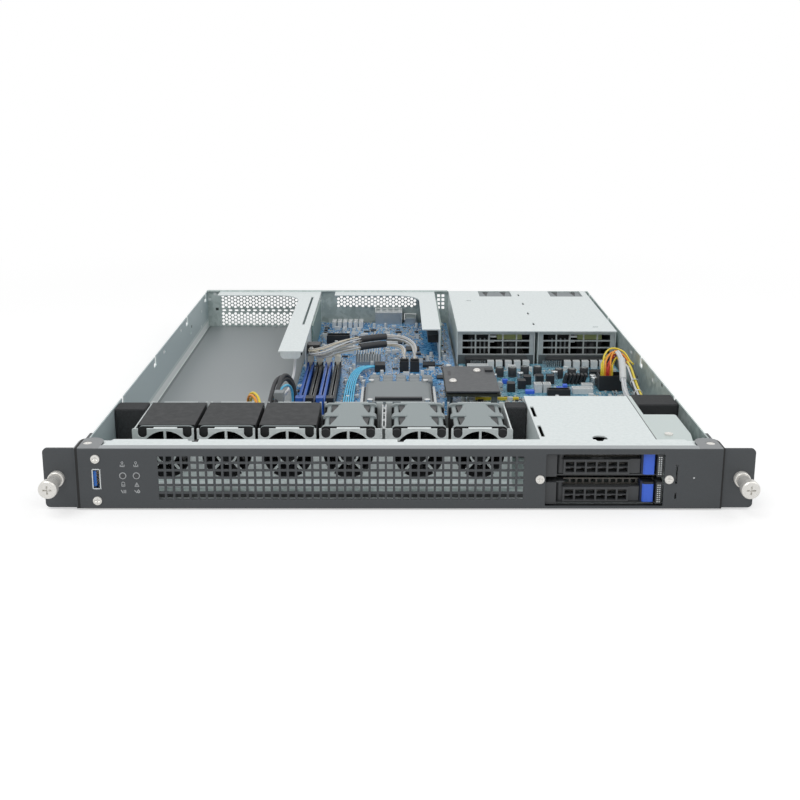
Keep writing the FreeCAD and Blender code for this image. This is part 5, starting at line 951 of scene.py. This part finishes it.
def fan_cables():
    """The fans' leads, their black sleeves, and the blue lead with its plug in line."""
    lines = strands(FAN_LEAD, 4, [1.2, 1.4, 2.0, 2.2, 1.8, 1.2, 1.0], 0.5)
    leads("fan_lead", lines, 1.0, [CABLE_YELLOW, CABLE_ORANGE, CABLE_YELLOW, CABLE_WHITE])
    lines = strands(FAN_SLEEVE, 3, [2.2, 2.4, 2.8, 2.4, 1.8, 0.9, 0.5, 0.5], 0.3)
    leads("fan_sleeve", lines, 1.75, [CABLE_BLACK] * 3)
    wire("blue_lead", BLUE_LEAD, 1.1, CABLE_CYAN)
    piece("inline_plug", [bricks([(-99.6, -91.8, -122, -114, 31.5, 40.2)])], FERRITE, bevel=0.6)


def supply_cables():
    """The harness along the right side: a trunk, the supply's leads that rise and fall into it, and white
    leads under a wrap and a tie."""
    lines = strands(TRUNK, 5, 2.1, 0.25)
    leads("trunk_lead", lines, 0.95, [CABLE_WHITE, CABLE_YELLOW, CABLE_BLACK, CABLE_YELLOW, CABLE_BLACK])
    base, spread = np.asarray(SUPPLY_WIRE, float), np.asarray(SUPPLY_SPREAD, float) * [0.9, 0.9, 0]
    rise = np.array([0, 0, 1.0, 0.9, 0.8, 0.3, 0])[:, None]
    bows = zip((0, 2, -1, 1, -2, 1.5, -1), (-7, -1, -4.5, -9, -2.5, 0, -6))
    lines = [base + (1.8 * k - 5.4) * spread + rise * [0, back, up] for k, (back, up) in enumerate(bows)]
    leads("supply_lead", lines, 0.85, [CABLE_YELLOW, CABLE_ORANGE, CABLE_RED, CABLE_RED, CABLE_ORANGE,
                                       CABLE_YELLOW, CABLE_YELLOW])
    lines = strands(WHITE_LEADS, 3, [1.0, 1.4, 1.5, 1.3, 1.3, 1.3, 1.3, 1.3], 0.3)
    leads("white_lead", lines, 1.25, [CABLE_WHITE] * 3)


def ties_and_sleeves():
    """The harness's nylon wrap and tie, the two sleeves round the looms, and the ties round the trunk."""
    wire("harness_wrap", [(200.6, -9, 36.2), (199, -24, 31), (196.4, -39, 26.6)], 3.1, NYLON)
    wire("harness_tie", [(200.4, -19, 34.6), (204.5, -21, 33.5), (209, -24, 30.5)], 0.7, NYLON)
    wire("upper_sleeve", [(-38.5, 70, 34.1), (-25, 82, 33.4), (-12, 88.4, 32.7)], 3.3, CABLE_BLACK)
    wire("lower_sleeve", [(-37, 63.4, 28.6), (-25, 72, 28.6), (-12, 78.6, 27.9)], 3.3, CABLE_BLACK)
    tie = [(3.45, -0.9), (3.75, -0.7), (3.75, 0.7), (3.45, 0.9)]
    piece("trunk_ties", [turned([(204.1, -50, 27.0), (201.7, -76, 25.2)], tie, "y", 32, closed=True)], NYLON)


# ---- camera, light and floor
def seen(tree):
    """1 for camera, glossy and transmission rays, else 0."""
    path = add(tree, "ShaderNodeLightPath")
    direct, glossy, clear = [path.outputs[f"Is {ray} Ray"] for ray in ("Camera", "Glossy", "Transmission")]
    most = add(tree, "ShaderNodeMath", {"operation": "MAXIMUM"}, _0=direct, _1=glossy).outputs[0]
    return add(tree, "ShaderNodeMath", {"operation": "MAXIMUM"}, _0=most, _1=clear).outputs[0]


def world_light(level):
    """An even grey-white light from all round that the eye and the metal see as white."""
    world = bpy.data.worlds.new("studio")
    bpy.context.scene.world = world
    world.use_nodes = True
    tree = world.node_tree
    out = tree.nodes["World Output"]
    light = add(tree, "ShaderNodeBackground", Color=(1.0, 1.0, 1.0, 1.0), Strength=level).outputs[0]
    white = add(tree, "ShaderNodeBackground", Color=(1.0, 1.0, 1.0, 1.0), Strength=1.0).outputs[0]
    mixed = add(tree, "ShaderNodeMixShader", _0=seen(tree), _1=light, _2=white).outputs[0]
    tree.links.new(mixed, out.inputs["Surface"])


def floor():
    """A plain pale floor under the part that keeps the part's shadow near it and turns white from 0.45 m to
    0.9 m away."""
    points, faces = prism([(-9000, -9000), (9000, -9000), (9000, 9000), (-9000, 9000)], -11.0, -1.0)
    material = bpy.data.materials.new("white_studio_floor")
    material.use_nodes = True
    tree = material.node_tree
    shader = tree.nodes["Principled BSDF"]
    shader.inputs["Base Color"].default_value = (0.76, 0.76, 0.76, 1.0)
    shader.inputs["Roughness"].default_value = 0.9
    shader.inputs["Specular IOR Level"].default_value = 0.0
    shader.inputs["Emission Color"].default_value = (1.0, 1.0, 1.0, 1.0)
    rays = seen(tree)
    glow = add(tree, "ShaderNodeMath", {"operation": "MULTIPLY"}, _0=rays, _1=0.41).outputs[0]
    tree.links.new(glow, shader.inputs["Emission Strength"])
    place = add(tree, "ShaderNodeTexCoord").outputs["Object"]
    away = add(tree, "ShaderNodeVectorMath", {"operation": "LENGTH"}, _0=place).outputs["Value"]
    far = add(tree, "ShaderNodeMapRange", {"interpolation_type": "SMOOTHSTEP"}, Value=away, _1=0.45, _2=0.9,
              _3=0.0, _4=1.0).outputs[0]
    far = add(tree, "ShaderNodeMath", {"operation": "MULTIPLY"}, _0=far, _1=rays).outputs[0]
    white = add(tree, "ShaderNodeEmission", Color=(1.0, 1.0, 1.0, 1.0), Strength=1.0).outputs[0]
    mixed = add(tree, "ShaderNodeMixShader", _0=far, _1=shader.outputs[0], _2=white).outputs[0]
    tree.links.new(mixed, tree.nodes["Material Output"].inputs["Surface"])
    mesh = bpy.data.meshes.new("floor")
    mesh.from_pydata((points * MM).tolist(), [], [row for group in faces for row in group.tolist()])
    mesh.materials.append(material)
    obj = bpy.data.objects.new("floor", mesh)
    bpy.context.scene.collection.objects.link(obj)


def lamp(name, place, target, size, power):
    """A square soft light at a place in metres, turned to its target."""
    light = bpy.data.lights.new(name, "AREA")
    light.shape = "SQUARE"
    light.size = size
    light.energy = power
    obj = bpy.data.objects.new(name, light)
    obj.location = place
    obj.rotation_euler = (Vector(target) - Vector(place)).to_track_quat("-Z", "Y").to_euler()
    bpy.context.scene.collection.objects.link(obj)


def camera():
    """Eye level 0.3 m above the origin, looking down 13.4 degrees on the front."""
    lens = bpy.data.cameras.new("camera")
    lens.lens = 49.5
    lens.sensor_width = 36.0
    lens.shift_y = -0.1
    obj = bpy.data.objects.new("camera", lens)
    obj.location = (-0.0041, -0.9609, 0.2997)
    pitch, yaw, roll = [math.radians(v) for v in (76.59, -0.33, 0.15)]
    turn = Matrix.Rotation(yaw, 3, "Z") @ Matrix.Rotation(pitch, 3, "X") @ Matrix.Rotation(roll, 3, "Z")
    obj.rotation_euler = turn.to_euler()
    bpy.context.scene.collection.objects.link(obj)
    bpy.context.scene.camera = obj


dress_frame()
front_icons()
screws()
knob_trim()
front_trim()
fan_trim()
foam_and_plugs()
sled_trim()
connectors()
large_parts()
board_hardware()
for board, area, keep, seed in (("main_board", MAIN, MAIN_KEEP, 11), ("power_board", POWER, POWER_KEEP, 23)):
    chip_parts(board, area, keep, seed)
    leaded_parts(board, area, keep, seed + 1)
card_trim()
memory_trim()
socket_trim()
supply_trim()
board_cables()
fan_cables()
supply_cables()
ties_and_sleeves()
world_light(0.55)
floor()
lamp("key", (-0.9, -1.3, 1.9), (0, 0, 0), 1.6, 16.0)
lamp("fill", (1.4, -0.6, 1.6), (0, 0, 0), 1.6, 8.0)
camera()
bpy.context.scene.view_settings.view_transform = "Standard"
